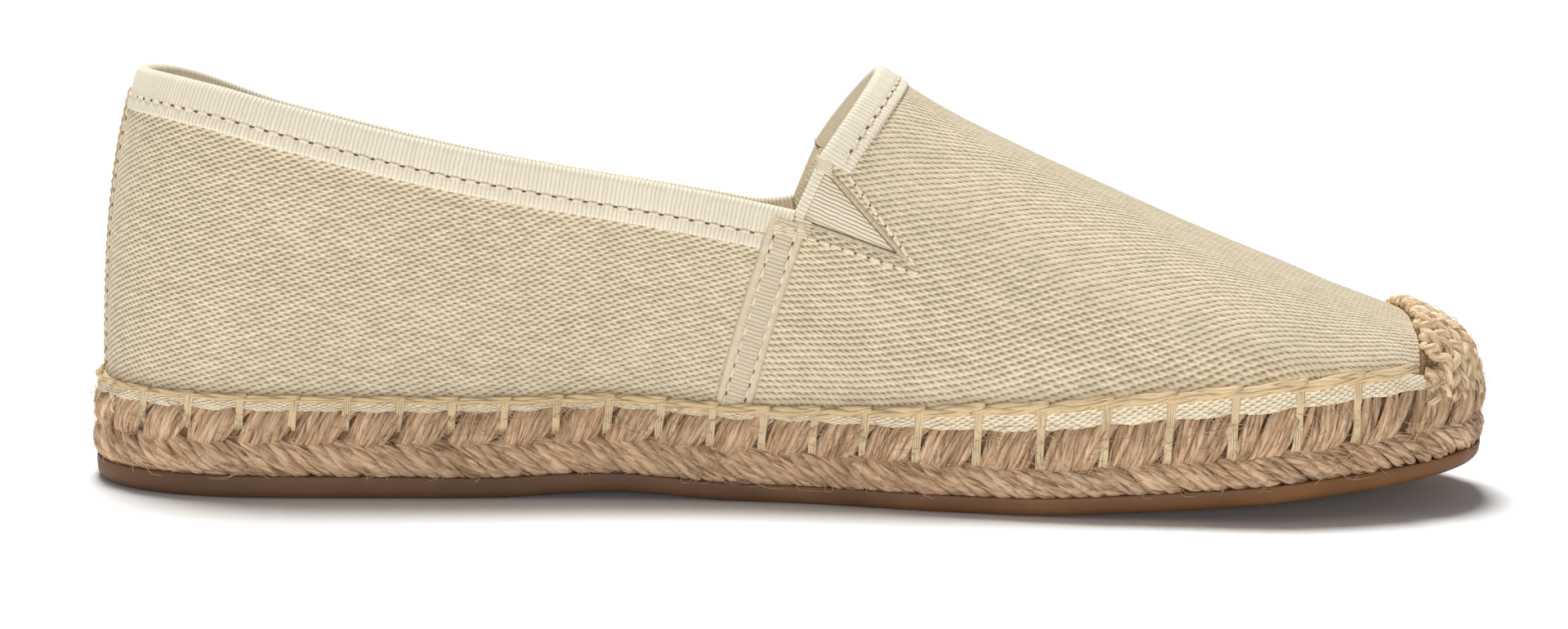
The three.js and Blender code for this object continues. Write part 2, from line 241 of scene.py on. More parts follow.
def turn_at(s):
    """The turn at a distance along the feather line, measured from the back seam."""
    return np.interp(np.mod(s, LOOP), LOOP_LENGTH, LOOP_TURN)


def loop_edge(s, out, z_of_x=None):
    """Points that stand out from the feather line in plan, at a height worked out from x, or 0."""
    turn = turn_at(s)
    x, y, _, _ = station(turn)
    x1, y1, _, _ = station(turn + SMALL_TURN)
    x2, y2, _, _ = station(turn - SMALL_TURN)
    length = np.maximum(np.hypot(x1 - x2, y1 - y2), 1e-9)
    x = x + (y1 - y2) / length * out
    y = y - (x1 - x2) / length * out
    return np.stack(np.broadcast_arrays(x, y, z_of_x(x) if z_of_x else 0 * x), -1)


def loop_lengths_at(x):
    """Distances along the feather line where its medial and its lateral side pass x."""
    half = len(LOOP_TURN) // 2 + 1
    medial = np.interp(x, _lx[:half], LOOP_LENGTH[:half])
    return medial, np.interp(-x, -_lx[half - 1:], LOOP_LENGTH[half - 1:])


# ---- the opening ----


def lateral_drop(x, y):
    """How much lower the collar runs on the lateral side, fading out towards heel and instep."""
    along = smoothstep(-126, -98, x) * (1 - smoothstep(-8, 10, x))
    return LATERAL_DROP * smoothstep(-20, 20, y) * along


def opening_line():
    """Side view of the opening: the collar, the gore's short edge, then the throat's curve."""
    x = np.linspace(-135, GORE_FOOT[0], 120)
    z = collar_height(x)
    t = np.linspace(0, 1, 24)
    throat = [
        (1 - t) ** 2 * GORE_HEAD[i] + 2 * t * (1 - t) * THROAT_MID[i] + t**2 * THROAT_TOP[i]
        for i in (0, 1)
    ]
    slope = (THROAT_TOP[1] - THROAT_MID[1]) / (THROAT_TOP[0] - THROAT_MID[0])
    end_x = THROAT_TOP[0] + 30
    x = np.concatenate([x, throat[0], [end_x]])
    z = np.concatenate([z, throat[1], [THROAT_TOP[1] + 30 * slope]])
    return x, z


OPENING_X, OPENING_Z = opening_line()


def over_opening(points):
    """Height over the opening's line, above 0 where the last is cut away."""
    x, y, z = points[..., 0], points[..., 1], points[..., 2]
    return z + lateral_drop(x, y) - np.interp(x, OPENING_X, OPENING_Z)


def first_crossing(at, over):
    """Where each row of values first rises past 0, read between the samples, which stand at the
    places at. The last place where it never does."""
    crossed = over > 0
    after = np.maximum(np.where(crossed.any(1), crossed.argmax(1), len(at) - 1), 1)
    rows = np.arange(len(over))
    low, high = over[rows, after - 1], over[rows, after]
    share = np.clip(-low / np.where(high == low, 1, high - low), 0, 1)
    return np.where(crossed.any(1), at[after - 1] + share * (at[after] - at[after - 1]), at[-1])


def rise_at_edge(turn):
    """Where each station's line first crosses the opening, as a rise; 1 where it reaches the ridge."""
    rises = np.linspace(0.05, 1, 700)
    return first_crossing(rises, over_opening(form(turn[:, None], rises[None, :])))


def locate(x, z, side, steps=9):
    """Turn and rise of the point of the last with this side view, on the medial (-1) or the
    lateral (1) side: Newton's method on the two equations in x and z."""
    x, z = np.broadcast_arrays(np.asarray(x, float), np.asarray(z, float))
    tiny = 1e-4
    share = np.clip((x - HEEL_X) / (TOE_X - HEEL_X), 0.004, 0.996)
    turn = np.arccos(1 - 2 * share)
    turn = turn if side < 0 else 2 * np.pi - turn
    rise = np.full_like(x, 0.45)
    for _ in range(steps):
        here = form(turn, rise)
        dt = (form(turn + tiny, rise) - here) / tiny
        dr = (form(turn, rise + tiny) - here) / tiny
        miss_x, miss_z = x - here[..., 0], z - here[..., 2]
        det = dt[..., 0] * dr[..., 2] - dr[..., 0] * dt[..., 2]
        det = np.where(np.abs(det) < 1e-6, 1e-6, det)
        turn = turn + np.clip((miss_x * dr[..., 2] - miss_z * dr[..., 0]) / det, -0.3, 0.3)
        step = np.clip((dt[..., 0] * miss_z - dt[..., 2] * miss_x) / det, -0.2, 0.2)
        rise = np.clip(rise + step, 0, 0.99)
    return turn, rise


def on_side(x, z, side, offset=0.0):
    """Points over the canvas at a side-view place, the lateral side following its lower collar."""
    drop = lateral_drop(np.asarray(x, float), 30.0) if side > 0 else 0.0
    turn, rise = locate(x, z - drop, side)
    normal = form_normal(turn, rise)
    return canvas_point(turn, rise) + normal * np.asarray(offset)[..., None], normal


# ---- soft creases of the canvas, placed in the shoe's own sizes ----

# x and z of the middle, half length, half height, lean in degrees, depth (below 0 is a trough)
CREASES = (
    (-88, 45, 17, 7, -12, -0.9),
    (-66, 38, 14, 5, -8, 0.5),
    (-46, 37, 12, 8, 20, -0.8),
    (-30, 30, 9, 6, 60, 0.5),
    (-112, 52, 7, 12, 0, -0.5),
    (14, 33, 13, 5, -25, -0.9),
    (28, 26, 12, 4, -10, 0.5),
    (40, 40, 14, 5, -35, -0.6),
    (62, 30, 12, 4, -20, -0.5),
    (84, 32, 9, 4, -20, 0.4),
    (97, 30, 7, 5, -35, -0.5),
    (-8, 44, 8, 4, -10, 0.4),
)


LATERAL_CREASE_SHIFT = 6.0
PUCKER_DEPTH = 0.28


def crease_depth(points, lateral, s):
    """Sum of leaning Gaussians over the side view, further forward on the lateral side, plus
    small puckers along the feather line, one for each blanket stitch."""
    x, z = points[..., 0], points[..., 2]
    depth = np.zeros_like(x)
    for cx, cz, long, high, lean, amount in CREASES:
        angle = math.radians(lean)
        dx, dz = x - cx - LATERAL_CREASE_SHIFT * lateral, z - cz
        a = dx * math.cos(angle) + dz * math.sin(angle)
        b = dz * math.cos(angle) - dx * math.sin(angle)
        depth = depth + amount * np.exp(-((a / long) ** 2) - (b / high) ** 2)
    height = z - feather_z(x)
    pull = np.exp(-(((height - 4.0) / 3.5) ** 2))
    return depth + PUCKER_DEPTH * pull * np.cos(2 * np.pi * phase_at(s))


POCKET_DEPTH = 1.25


def gore_depth(points):
    """A shallow pocket in the canvas under each gore, so that the elastic lies sunk between its
    seams: full depth 1 mm inside the lower and the upper seam line."""
    x = points[..., 0]
    z = points[..., 2] + np.where(points[..., 1] > CENTRE_Y, lateral_drop(x, 30.0), 0)
    inside = np.full_like(x, 9.0)
    for (ax, az), (bx, bz) in ((GORE_SEAM_FOOT, GORE_TIP), (GORE_TIP, GORE_HEAD)):
        length = math.hypot(bx - ax, bz - az)
        inside = np.minimum(inside, ((bx - ax) * (z - az) - (bz - az) * (x - ax)) / length)
    near = (np.abs(x - 9) < 14) & (z > 42) & (z < 70)
    return np.where(near, -POCKET_DEPTH * smoothstep(-0.2, 1.0, inside), 0)


def canvas_point(turn, rise):
    """The last's surface with the creases pushed along its normal."""
    points = form(turn, rise)
    turn = np.mod(turn, 2 * np.pi)
    depth = crease_depth(points, turn > np.pi, np.interp(turn, LOOP_TURN, LOOP_LENGTH))
    shown = smoothstep(0.02, 0.10, rise) * (1 - smoothstep(0.8, 0.98, rise))
    return points + form_normal(turn, rise) * (depth * shown)[..., None]


# ---------------------------------------------------------------------------
# Meshes from arrays
# ---------------------------------------------------------------------------


def grid_quads(rows, cols, flip=False, wrap=False):
    """Quads of a grid of rows x cols vertices; wrap closes the columns."""
    r = np.arange(rows - 1)[:, None]
    c = np.arange(cols if wrap else cols - 1)[None, :]
    n = (c + 1) % cols
    a, b = r * cols + c, r * cols + n
    quads = np.stack([a, b, b + cols, a + cols], -1).reshape(-1, 4)
    return quads[:, ::-1] if flip else quads


def make_object(name, vertices, faces, uv=None, material=None, slot=None, smooth=True, merge=False):
    """Puts millimetre vertices and faces of equal length into a mesh with foreach_set. uv holds
    one pair for each corner. Returns the new object, riding on the frame."""
    faces = np.asarray(faces)
    mesh = bpy.data.meshes.new(name)
    mesh.vertices.add(len(vertices))
    mesh.vertices.foreach_set("co", (np.asarray(vertices, float) * MM).ravel())
    count, corners = faces.shape
    mesh.loops.add(count * corners)
    mesh.loops.foreach_set("vertex_index", faces.ravel())
    mesh.polygons.add(count)
    mesh.polygons.foreach_set("loop_start", np.arange(count) * corners)
    mesh.polygons.foreach_set("use_smooth", np.full(count, smooth))
    if uv is not None:
        layer = mesh.uv_layers.new(name="UVMap")
        layer.data.foreach_set("uv", np.asarray(uv, float).ravel())
    mesh.update(calc_edges=True)
    mesh.validate()
    if merge:
        bm = bmesh.new()
        bm.from_mesh(mesh)
        bmesh.ops.remove_doubles(bm, verts=bm.verts, dist=2e-6)
        bm.to_mesh(mesh)
        bm.free()
    piece = bpy.data.objects.new(name, mesh)
    bpy.context.scene.collection.objects.link(piece)
    if material:
        mesh.materials.append(material)
    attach(piece, BODY)
    return piece


# The u of each tube starts this far from the last one's, so that the yarns differ.
TUBE_APART = 37.7


def closed_tubes(paths, normals, half_width, half_height, sides=8, twist=0.0):
    """Tubes with elliptical sections along many paths at once. paths is (tubes, points, 3) and
    normals the direction of each section's height. Each end closes on a point. Returns vertices,
    quads and corner uv, where u runs along the tube in mm and v is the share of the turn."""
    paths = np.asarray(paths, float)
    tubes, points, _ = paths.shape
    tangent = unit(np.gradient(paths, axis=1))
    across = unit(np.cross(normals, tangent))
    upward = np.cross(tangent, across)
    width = np.broadcast_to(half_width, (tubes, points))[..., None, None]
    height = np.broadcast_to(half_height, (tubes, points))[..., None, None]
    turn = np.arange(sides) / sides * 2 * np.pi
    turn = turn[None, None, :] + twist * np.linspace(0, 1, points)[None, :, None]
    ring = (
        paths[:, :, None, :]
        + across[:, :, None, :] * np.cos(turn)[..., None] * width
        + upward[:, :, None, :] * np.sin(turn)[..., None] * height
    )
    first = np.repeat(paths[:, :1, None, :], sides, 2)
    last = np.repeat(paths[:, -1:, None, :], sides, 2)
    ring = np.concatenate([first, ring, last], 1)
    rows = points + 2
    one = grid_quads(rows, sides, wrap=True)
    faces = (one[None] + (np.arange(tubes) * rows * sides)[:, None, None]).reshape(-1, 4)
    step = np.linalg.norm(np.diff(paths, axis=1), axis=2)
    along = np.concatenate([np.zeros((tubes, 2)), np.cumsum(step, 1)], 1)
    along = np.concatenate([along, along[:, -1:]], 1) + (np.arange(tubes) * TUBE_APART)[:, None]
    share = np.arange(sides + 1) / sides
    u = np.broadcast_to(along[:, :, None], (tubes, rows, sides + 1))
    v = np.broadcast_to(share[None, None, :], (tubes, rows, sides + 1))
    grid = np.stack([u, v], -1)
    uv = np.stack(
        [grid[:, :-1, :-1], grid[:, :-1, 1:], grid[:, 1:, 1:], grid[:, 1:, :-1]], 3
    ).reshape(-1, 2)
    return ring.reshape(-1, 3), faces, uv


def tube_object(name, parts, material, slot):
    """Joins several results of closed_tubes into one object, each end drawn to a point."""
    vertices, faces, uvs, offset = [], [], [], 0
    for v, f, uv in parts:
        vertices.append(v)
        faces.append(f + offset)
        uvs.append(uv)
        offset += len(v)
    joined = np.concatenate(vertices), np.concatenate(faces), np.concatenate(uvs)
    return make_object(name, *joined, material=material, slot=slot, merge=True)


def slab_object(name, outer, inner, uv, material, slot):
    """A closed sheet between two grids of points (rows, cols, 3), with its four rims joined. uv
    is a (rows, cols) grid of pairs."""
    rows, cols, _ = outer.shape
    top = grid_quads(rows, cols)
    under = grid_quads(rows, cols, flip=True) + rows * cols
    index = np.arange(rows * cols).reshape(rows, cols)
    rims = []
    edges = (index[0], False), (index[-1], True), (index[:, 0], True), (index[:, -1], False)
    for edge, turned in edges:
        a, b = edge[:-1], edge[1:]
        quad = np.stack([b, a, a + rows * cols, b + rows * cols], -1)
        rims.append(quad[:, ::-1] if turned else quad)
    rim_faces = np.concatenate(rims)
    vertex_uv = uv.reshape(-1, 2)
    corner, rim_uv = vertex_uv[top], vertex_uv[rim_faces % (rows * cols)]
    faces = np.concatenate([top, under, rim_faces])
    uvs = np.concatenate([part.reshape(-1, 2) for part in (corner, corner[:, ::-1], rim_uv)])
    vertices = np.concatenate([outer.reshape(-1, 3), inner.reshape(-1, 3)])
    return make_object(name, vertices, faces, uvs, material, slot, merge=True)


# ---------------------------------------------------------------------------
# Materials
# ---------------------------------------------------------------------------


class Graph:
    """A short way to write a material's nodes; every texture reads the piece's own UV map in mm."""

    def __init__(self, name, roughness, coordinates="UV"):
        self.material = bpy.data.materials.new(name)
        self.material.use_nodes = True
        self.tree = self.material.node_tree
        self.shader = self.tree.nodes["Principled BSDF"]
        self.shader.inputs["Roughness"].default_value = roughness
        source = self.tree.nodes.new("ShaderNodeTexCoord")
        self.coordinates = source.outputs[coordinates]

    def node(self, kind, inputs=(), **settings):
        made = self.tree.nodes.new(kind)
        for key, value in settings.items():
            setattr(made, key, value)
        for key, value in dict(inputs).items():
            if isinstance(value, bpy.types.NodeSocket):
                self.tree.links.new(value, made.inputs[key])
            else:
                made.inputs[key].default_value = value
        return made

    def math(self, operation, a, b=0.0):
        return self.node("ShaderNodeMath", {0: a, 1: b}, operation=operation).outputs[0]

    def add(self, first, *others):
        """The sum of two or more values."""
        for other in others:
            first = self.math("ADD", first, other)
        return first

    def times(self, a, b):
        return self.math("MULTIPLY", a, b)

    def less(self, a, b):
        return self.math("SUBTRACT", a, b)

    def between(self, value, low, high, start=0.0, end=1.0, **settings):
        """Runs from start at low to end at high."""
        limits = {0: value, 1: low, 2: high, 3: start, 4: end}
        return self.node("ShaderNodeMapRange", limits, **settings).outputs[0]

    def crown(self, phase, power):
        """A rounded ridge for each whole step of the phase: 1 minus a power of the distance
        from its middle."""
        wave = self.less(self.times(self.math("FRACT", phase), 2.0), 1.0)
        return self.less(1.0, self.math("POWER", self.math("ABSOLUTE", wave), power))

    def axes(self):
        split = self.node("ShaderNodeSeparateXYZ", {0: self.coordinates})
        return split.outputs[0], split.outputs[1], split.outputs[2]

    def join(self, x, y=0.0, z=0.0):
        """A vector to sample a texture at."""
        return self.node("ShaderNodeCombineXYZ", {0: x, 1: y, 2: z}).outputs[0]

    def noise(self, vector, scale, detail=2.0, rough=0.5):
        inputs = {"Vector": vector, "Scale": scale, "Detail": detail, "Roughness": rough}
        return self.node("ShaderNodeTexNoise", inputs).outputs["Fac"]

    def hashed(self, vector):
        return self.node("ShaderNodeTexWhiteNoise", {"Vector": vector}).outputs["Value"]

    def ramp(self, factor, *stops):
        made = self.node("ShaderNodeValToRGB", {"Fac": factor})
        elements = made.color_ramp.elements
        while len(elements) < len(stops):
            elements.new(0.5)
        for element, (place, colour) in zip(elements, stops):
            element.position = place
            element.color = (*colour, 1)
        return made.outputs[0]

    def mask(self, factor, low, high):
        """Black below low, white above high."""
        return self.ramp(factor, (low, (0, 0, 0)), (high, (1, 1, 1)))

    def blend(self, factor, a, b, kind="MIX"):
        made = self.node("ShaderNodeMix", data_type="RGBA", blend_type=kind)
        for key, value in ((0, factor), (6, a), (7, b)):
            if isinstance(value, bpy.types.NodeSocket):
                self.tree.links.new(value, made.inputs[key])
            elif key:
                made.inputs[key].default_value = (*value, 1)
            else:
                made.inputs[key].default_value = value
        return made.outputs[2]

    def shaded(self, colour, tone):
        """A colour made darker or lighter by a tone near 1."""
        return self.blend(1.0, colour, self.join(tone, tone, tone), "MULTIPLY")

    def finish(self, colour, height, depth, roughness=None):
        """Links the colour, and a bump whose height of 1 stands depth mm proud."""
        self.tree.links.new(colour, self.shader.inputs["Base Color"])
        if roughness is not None:
            self.tree.links.new(roughness, self.shader.inputs["Roughness"])
        bump = self.node("ShaderNodeBump", {"Height": height, "Distance": depth * MM, "Strength": 1.0})
        self.tree.links.new(bump.outputs[0], self.shader.inputs["Normal"])
        return self.material


def linear(red, green, blue):
    """Linear colour from display values of 0 to 255."""
    shares = (value / 255 for value in (red, green, blue))
    return tuple(c / 12.92 if c <= 0.04045 else ((c + 0.055) / 1.055) ** 2.4 for c in shares)


def scaled(colour, factor):
    """A lighter or darker colour, cut off at full white."""
    return tuple(min(1.0, c * factor) for c in colour)


def canvas_material(name, colour, column=1.03, row=0.60, depth=0.2, gap=0.50, tone_low=0.86):
    """Plain weave as a sum of waves: over both diagonals, the rows and the columns. Bumps stand
    where every wave is high, on alternate crossings, painted lighter as if lit; the gaps are
    painted darker as shade, down to gap times the colour and darkest below their ends.
    Each bump, row and slub has its own random tone, and noise bends the yarns."""
    g = Graph(name, 0.95)
    u, v, _ = g.axes()
    slow = g.less(g.noise(g.coordinates, 0.06, 2), 0.5)
    fine = g.less(g.noise(g.coordinates, 0.55, 2), 0.5)
    other = g.less(g.noise(g.join(v, u, 9.0), 0.55, 2), 0.5)
    p = g.add(g.math("DIVIDE", u, column), g.times(fine, 0.8), slow)
    q = g.add(g.math("DIVIDE", v, row), g.times(other, 0.45), g.times(slow, 2.0))
    half, whole = math.pi, 2 * math.pi
    # The sine term tilts each bump, so the colour taken from this height carries a painted shadow below
    # each float.
    height = g.add(*(
        g.times(g.math(kind, g.times(phase, cycle)), weight)
        for kind, phase, cycle, weight in (
            ("COSINE", g.less(p, q), half, 0.46), ("COSINE", g.add(p, q), half, 0.12),
            ("COSINE", q, whole, 0.20), ("COSINE", p, whole, 0.13), ("SINE", q, whole, 0.12))
    ))
    nearest = g.math("FLOOR", g.add(q, 0.5))
    crossing = g.math("FLOOR", g.add(g.times(g.add(p, nearest), 0.5), 0.5))
    yarn = g.hashed(g.join(crossing, nearest, 3.0))
    row_shade = g.hashed(g.join(nearest, 0.0, 9.0))
    height = g.add(height, g.times(g.less(yarn, 0.5), 0.14))
    # Painted shade in the gaps: 1 where the weave is low, 0 on the bumps.
    painted_gap_shade = g.between(height, -0.70, 0.05, 1.0, 0.0, interpolation_type="SMOOTHSTEP")
    slub = g.noise(g.join(g.times(u, 0.10), g.times(v, 1.1)), 1.0, 3)
    cloud = g.noise(g.coordinates, 0.035, 3)
    # Bumps take the colour 1.14 times lighter, a painted highlight; gaps take it scaled by gap and
    # warmer, the painted shade.
    red, green, blue = scaled(colour, gap)
    base = g.blend(painted_gap_shade, scaled(colour, 1.14), (red, green * 0.91, blue * 0.70))
    # Beside the random tones of yarn, row, slub and cloud, the higher parts are painted lighter: painted
    # light on the bumps.
    tone = g.add(g.times(yarn, 0.12), g.times(row_shade, 0.05), g.times(slub, 0.05),
                 g.times(cloud, 0.08), g.times(height, 0.10), tone_low)
    fuzz = g.noise(g.join(g.times(u, 2.0), g.times(v, 6.0)), 1.2, 2)
    g.shader.inputs["Sheen Weight"].default_value = 0.1
    return g.finish(g.shaded(base, tone), g.add(height, g.times(fuzz, 0.2)), depth)


def ribbed_material(name, colour, pitch, depth=0.15, dark=0.72, along_u=True, tint=None, gap=0.5,
                    selvedge=None):
    """Grosgrain: rounded ribs across the tape, fine threads along each rib and a soft variation.
    The grooves between the ribs are painted darker as shade, in the tint where one is given,
    and the crowns a little lighter. Beyond the selvedge the ribs fade into a plain edge."""
    g = Graph(name, 0.85)
    u, v, _ = g.axes()
    run, width = (u, v) if along_u else (v, u)
    wander = g.times(g.less(g.noise(g.coordinates, 0.5, 1), 0.5), 0.35)
    ribs = g.math("DIVIDE", g.add(run, wander), pitch)
    crown = g.crown(ribs, 2.2)
    if selvedge:
        plain = g.between(g.math("ABSOLUTE", width), selvedge - 0.2, selvedge + 0.2)
        crown = g.math("MAXIMUM", crown, g.times(plain, 0.85))
    thread = g.noise(g.join(g.times(run, 0.6), g.times(width, 5.0)), 1.0, 2)
    shade = g.hashed(g.join(g.math("FLOOR", ribs), 1.0, 2.0))
    cloud = g.noise(g.coordinates, 0.06, 2)
    # Painted shade: the grooves fall to the dark copy, in the tint where given, and the crowns are
    # painted 1.05 times lighter.
    base = g.blend(g.mask(crown, 0.0, gap), scaled(tint or colour, dark), scaled(colour, 1.05))
    tone = g.add(g.times(shade, 0.06), g.times(thread, 0.12), g.times(cloud, 0.10), 0.84)
    return g.finish(g.shaded(base, tone), g.add(crown, g.times(thread, 0.3)), depth)


def thread_material(name, colour, dark=0.6, twist=1.1, depth=0.12):
    """Twisted thread: faint diagonal plies with painted shade between them, long fibres, and a
    random tone for each stretch.
    """
    g = Graph(name, 0.7)
    u, v, _ = g.axes()
    ply = g.crown(g.add(g.times(u, twist), g.times(v, 2.0)), 3.5)
    fibre = g.noise(g.join(g.times(u, 0.45), g.times(v, 16.0)), 1.0, 3)
    patch = g.noise(g.join(g.times(u, 0.12), 0.0), 1.0, 2)
    # Painted shade between the plies, and their crowns painted 1.08 times lighter.
    base = g.blend(g.mask(ply, 0.0, 0.6), scaled(colour, dark), scaled(colour, 1.08))
    tone = g.add(g.times(fibre, 0.75), g.times(patch, 0.35), 0.45)
    warm = g.blend(1.0, base, g.join(tone, tone, g.times(tone, 0.98)), "MULTIPLY")
    return g.finish(warm, g.add(g.times(ply, 0.5), g.times(fibre, 0.8)), depth)


def jute_material(name, dark, middle, light, twist=0.056, depth=0.28):
    """Jute yarn: long fibres that wind round the strand, pale hairs, and a shade for each
    strand. The fibres are noise on a cylinder, whose angle is v turned by the twist along u."""
    g = Graph(name, 0.85)
    u, v, _ = g.axes()
    angle = g.times(g.add(v, g.times(u, twist)), 2 * math.pi)
    across, up = (g.times(g.math(kind, angle), 1.15) for kind in ("COSINE", "SINE"))
    strand = g.hashed(g.join(g.math("FLOOR", g.math("DIVIDE", u, TUBE_APART)), 4.0, 1.0))
    lengthways = g.add(g.times(u, 0.13), g.times(strand, 50.0))
    fibre = g.noise(g.join(across, up, lengthways), 1.7, 3, 0.55)
    hair = g.noise(g.join(across, up, g.times(u, 0.16)), 3.4, 2, 0.5)
    patch = g.noise(g.join(g.times(u, 0.07), strand), 1.0, 2)
    mixed = g.add(g.times(fibre, 0.8), g.times(patch, 0.2))
    base = g.ramp(mixed, (0.36, dark), (0.47, middle), (0.60, light))
    base = g.blend(g.times(g.mask(hair, 0.56, 0.70), 0.5), base, light)
    tone = g.add(g.times(strand, 0.30), 0.85)
    return g.finish(g.shaded(base, tone), g.add(fibre, g.times(hair, 0.4)), depth)


def rubber_material():
    """Gum rubber: brown, warmer towards the toe, soft mottling, fine grit and paler scuffs."""
    g = Graph("gum_rubber", 0.6, "Object")
    cloud = g.noise(g.coordinates, 55.0, 3)
    grit = g.noise(g.coordinates, 1400.0, 2)
    x, y, z = g.axes()
    scuff = g.noise(g.join(g.times(x, 90.0), g.times(y, 90.0), g.times(z, 900.0)), 1.0, 4, 0.6)
    rear, front = (
        g.ramp(cloud, *((at, linear(*tone)) for at, tone in zip((0.30, 0.55, 0.75), tones)))
        for tones in (((90, 62, 38), (104, 73, 47), (120, 87, 58)),
                      ((108, 68, 34), (124, 82, 42), (142, 98, 56))))
    base = g.blend(g.between(x, -0.02, 0.08), rear, front)
    base = g.blend(g.times(g.mask(scuff, 0.60, 0.78), 0.25), base, linear(146, 116, 86))
    base = g.blend(g.times(g.mask(grit, 0.70, 0.76), 0.2), base, linear(150, 124, 96))
    rough = g.add(0.5, g.times(scuff, 0.25))
    return g.finish(base, g.add(g.times(grit, 0.4), scuff), 0.03, rough)


def fibrous_material(name, dark, middle, light):
    """Cut or folded cloth: a rough mix of yarn ends stretched along the edge."""
    g = Graph(name, 0.95)
    u, v, _ = g.axes()
    fray = g.noise(g.join(g.times(u, 1.5), g.times(v, 9.0)), 1.0, 4, 0.7)
    return g.finish(g.ramp(fray, (0.32, dark), (0.5, middle), (0.68, light)), fray, 0.3)


MATERIALS = {}


def finish_of(name):
    """One of the shoe's materials, all made at the first call from the colours of the settings."""
    if MATERIALS:
        return MATERIALS[name]
    canvas, binding = tuple(upper_settings().canvas), tuple(upper_settings().binding)
    jute = tuple(sole_settings().jute)
    fold = linear(178, 160, 128), linear(222, 207, 178), linear(238, 227, 204)
    frayed = linear(150, 122, 88), linear(202, 180, 143), linear(232, 215, 185)
    knit = linear(150, 112, 70), linear(224, 190, 146), linear(250, 228, 196)
    # Dark jute colours of the sheet under the toe cover's cords: painted shade between them.
    knit_ground = linear(84, 56, 30), linear(140, 104, 68), linear(180, 144, 104)
    MATERIALS.update(
        # In the canvas materials gap sets how dark the painted shade in the weave's gaps is.
        canvas=canvas_material("natural_canvas", canvas),
        strip=canvas_material("canvas_edge", linear(232, 219, 193), column=0.9, row=0.55,
                              depth=0.16, gap=0.70, tone_low=0.90),
        lining=canvas_material("cotton_lining", linear(238, 230, 214), column=0.7, row=0.5,
                               depth=0.08, gap=0.8),
        sock=canvas_material("sock_cotton", linear(226, 214, 190), column=0.9, row=0.6,
                             depth=0.12, gap=0.7),
        fold=fibrous_material("canvas_fold", *fold),
        frayed=fibrous_material("frayed_canvas", *frayed),
        # In the ribbed materials dark, and tint where given, make the painted shade between the ribs.
        binding=ribbed_material("grosgrain_binding", binding, 0.80, depth=0.12, dark=0.76),
        tape=ribbed_material("grosgrain_tape", linear(220, 205, 178), 0.74, depth=0.14, dark=0.78,
                             selvedge=1.9),
        elastic=ribbed_material("elastic_web", linear(246, 233, 208), 0.68, depth=0.2, dark=0.78,
                                along_u=False, tint=linear(186, 146, 104), gap=0.32),
        # In the thread materials dark sets the painted shade between the plies.
        stitch=thread_material("sewing_thread", linear(240, 226, 200), dark=0.75, twist=1.2),
        # pit: the dark colour of the tubes that paint the shade in needle holes.
        pit=thread_material("needle_hole_shade", linear(112, 90, 62), dark=0.6, twist=1.0),
        # brown: a thin brown cord that paints the shadow along each gore seam.
        brown=thread_material("gore_edge_shadow", linear(158, 120, 82), dark=0.6, twist=0.8),
        blanket=thread_material("blanket_thread", linear(216, 190, 148), 0.45, 0.1, depth=0.2),
        upright=thread_material("blanket_upright", linear(224, 200, 162), 0.45, 0.1, depth=0.2),
        fibre=thread_material("loose_fibre", linear(236, 206, 168), dark=0.85, twist=0.5),
        jute=jute_material("jute_yarn", scaled(jute, 0.34), scaled(jute, 0.92), linear(226, 196, 164)),
        # core: jute darkened to 0.16 to 0.5 of its colour, painted shade behind and between the yarns.
        core=jute_material("jute_shade_core", *(scaled(jute, share) for share in (0.16, 0.30, 0.5))),
        knit=jute_material("jute_knit", *knit),
        # The dark sheet of painted shade under the toe cover's cords.
        knit_ground=jute_material("jute_knit_ground", *knit_ground),
        rubber=rubber_material(),
    )
    return MATERIALS[name]


# ---------------------------------------------------------------------------
# Shared shapes: the shell over the last, bands along the opening, rows of thread
# ---------------------------------------------------------------------------

# Roughly even stitches along the feather line, a little longer over the forefoot.
_pitch = 9.5 + 1.8 * smoothstep(10, 40, _lx)
_count = np.concatenate([[0], np.cumsum(np.diff(LOOP_LENGTH) / _pitch[1:])])
STITCHES = int(round(_count[-1]))
LOOP_PHASE = _count * STITCHES / _count[-1]


def phase_at(s):
    """How many blanket stitches lie between the back seam and a distance along the feather line."""
    whole = np.floor(s / LOOP)
    return np.interp(s - whole * LOOP, LOOP_LENGTH, LOOP_PHASE) + whole * STITCHES


def length_at(phase):
    """The distance along the feather line of a count of blanket stitches."""
    whole = np.floor(phase / STITCHES)
    return np.interp(phase - whole * STITCHES, LOOP_PHASE, LOOP_LENGTH) + whole * LOOP


def side_turns(columns):
    """Turns of the medial side, even along the feather line, from the back seam to the toe."""
    turns = np.interp(np.linspace(0, MIDWAY, columns + 1), LOOP_LENGTH, LOOP_TURN)
    turns[0], turns[-1] = 0, np.pi
    return turns


def both_sides(turns):
    """The turns of the whole loop: the medial ones, then their mirror images back to the heel."""
    return np.concatenate([turns, (2 * np.pi - turns[1:-1])[::-1]])


def shell_normal(turn, rise):
    """The last's normal, shared by both sides where they meet at the ridge."""
    own, other = form_normal(turn, rise), form_normal(2 * np.pi - turn, rise)
    weight = 0.5 * smoothstep(0.9, 1.0, rise)[..., None]
    mirrored = smoothstep(0.0, 0.02, np.abs(np.sin(turn)))[..., None]
    return unit(own * (1 - weight * mirrored) + other * weight * mirrored)


# How far the weave's columns lean forwards and the quarter's rows fall forwards, as slopes.
COLUMN_LEAN = 0.30
QUARTER_FALL = 0.18


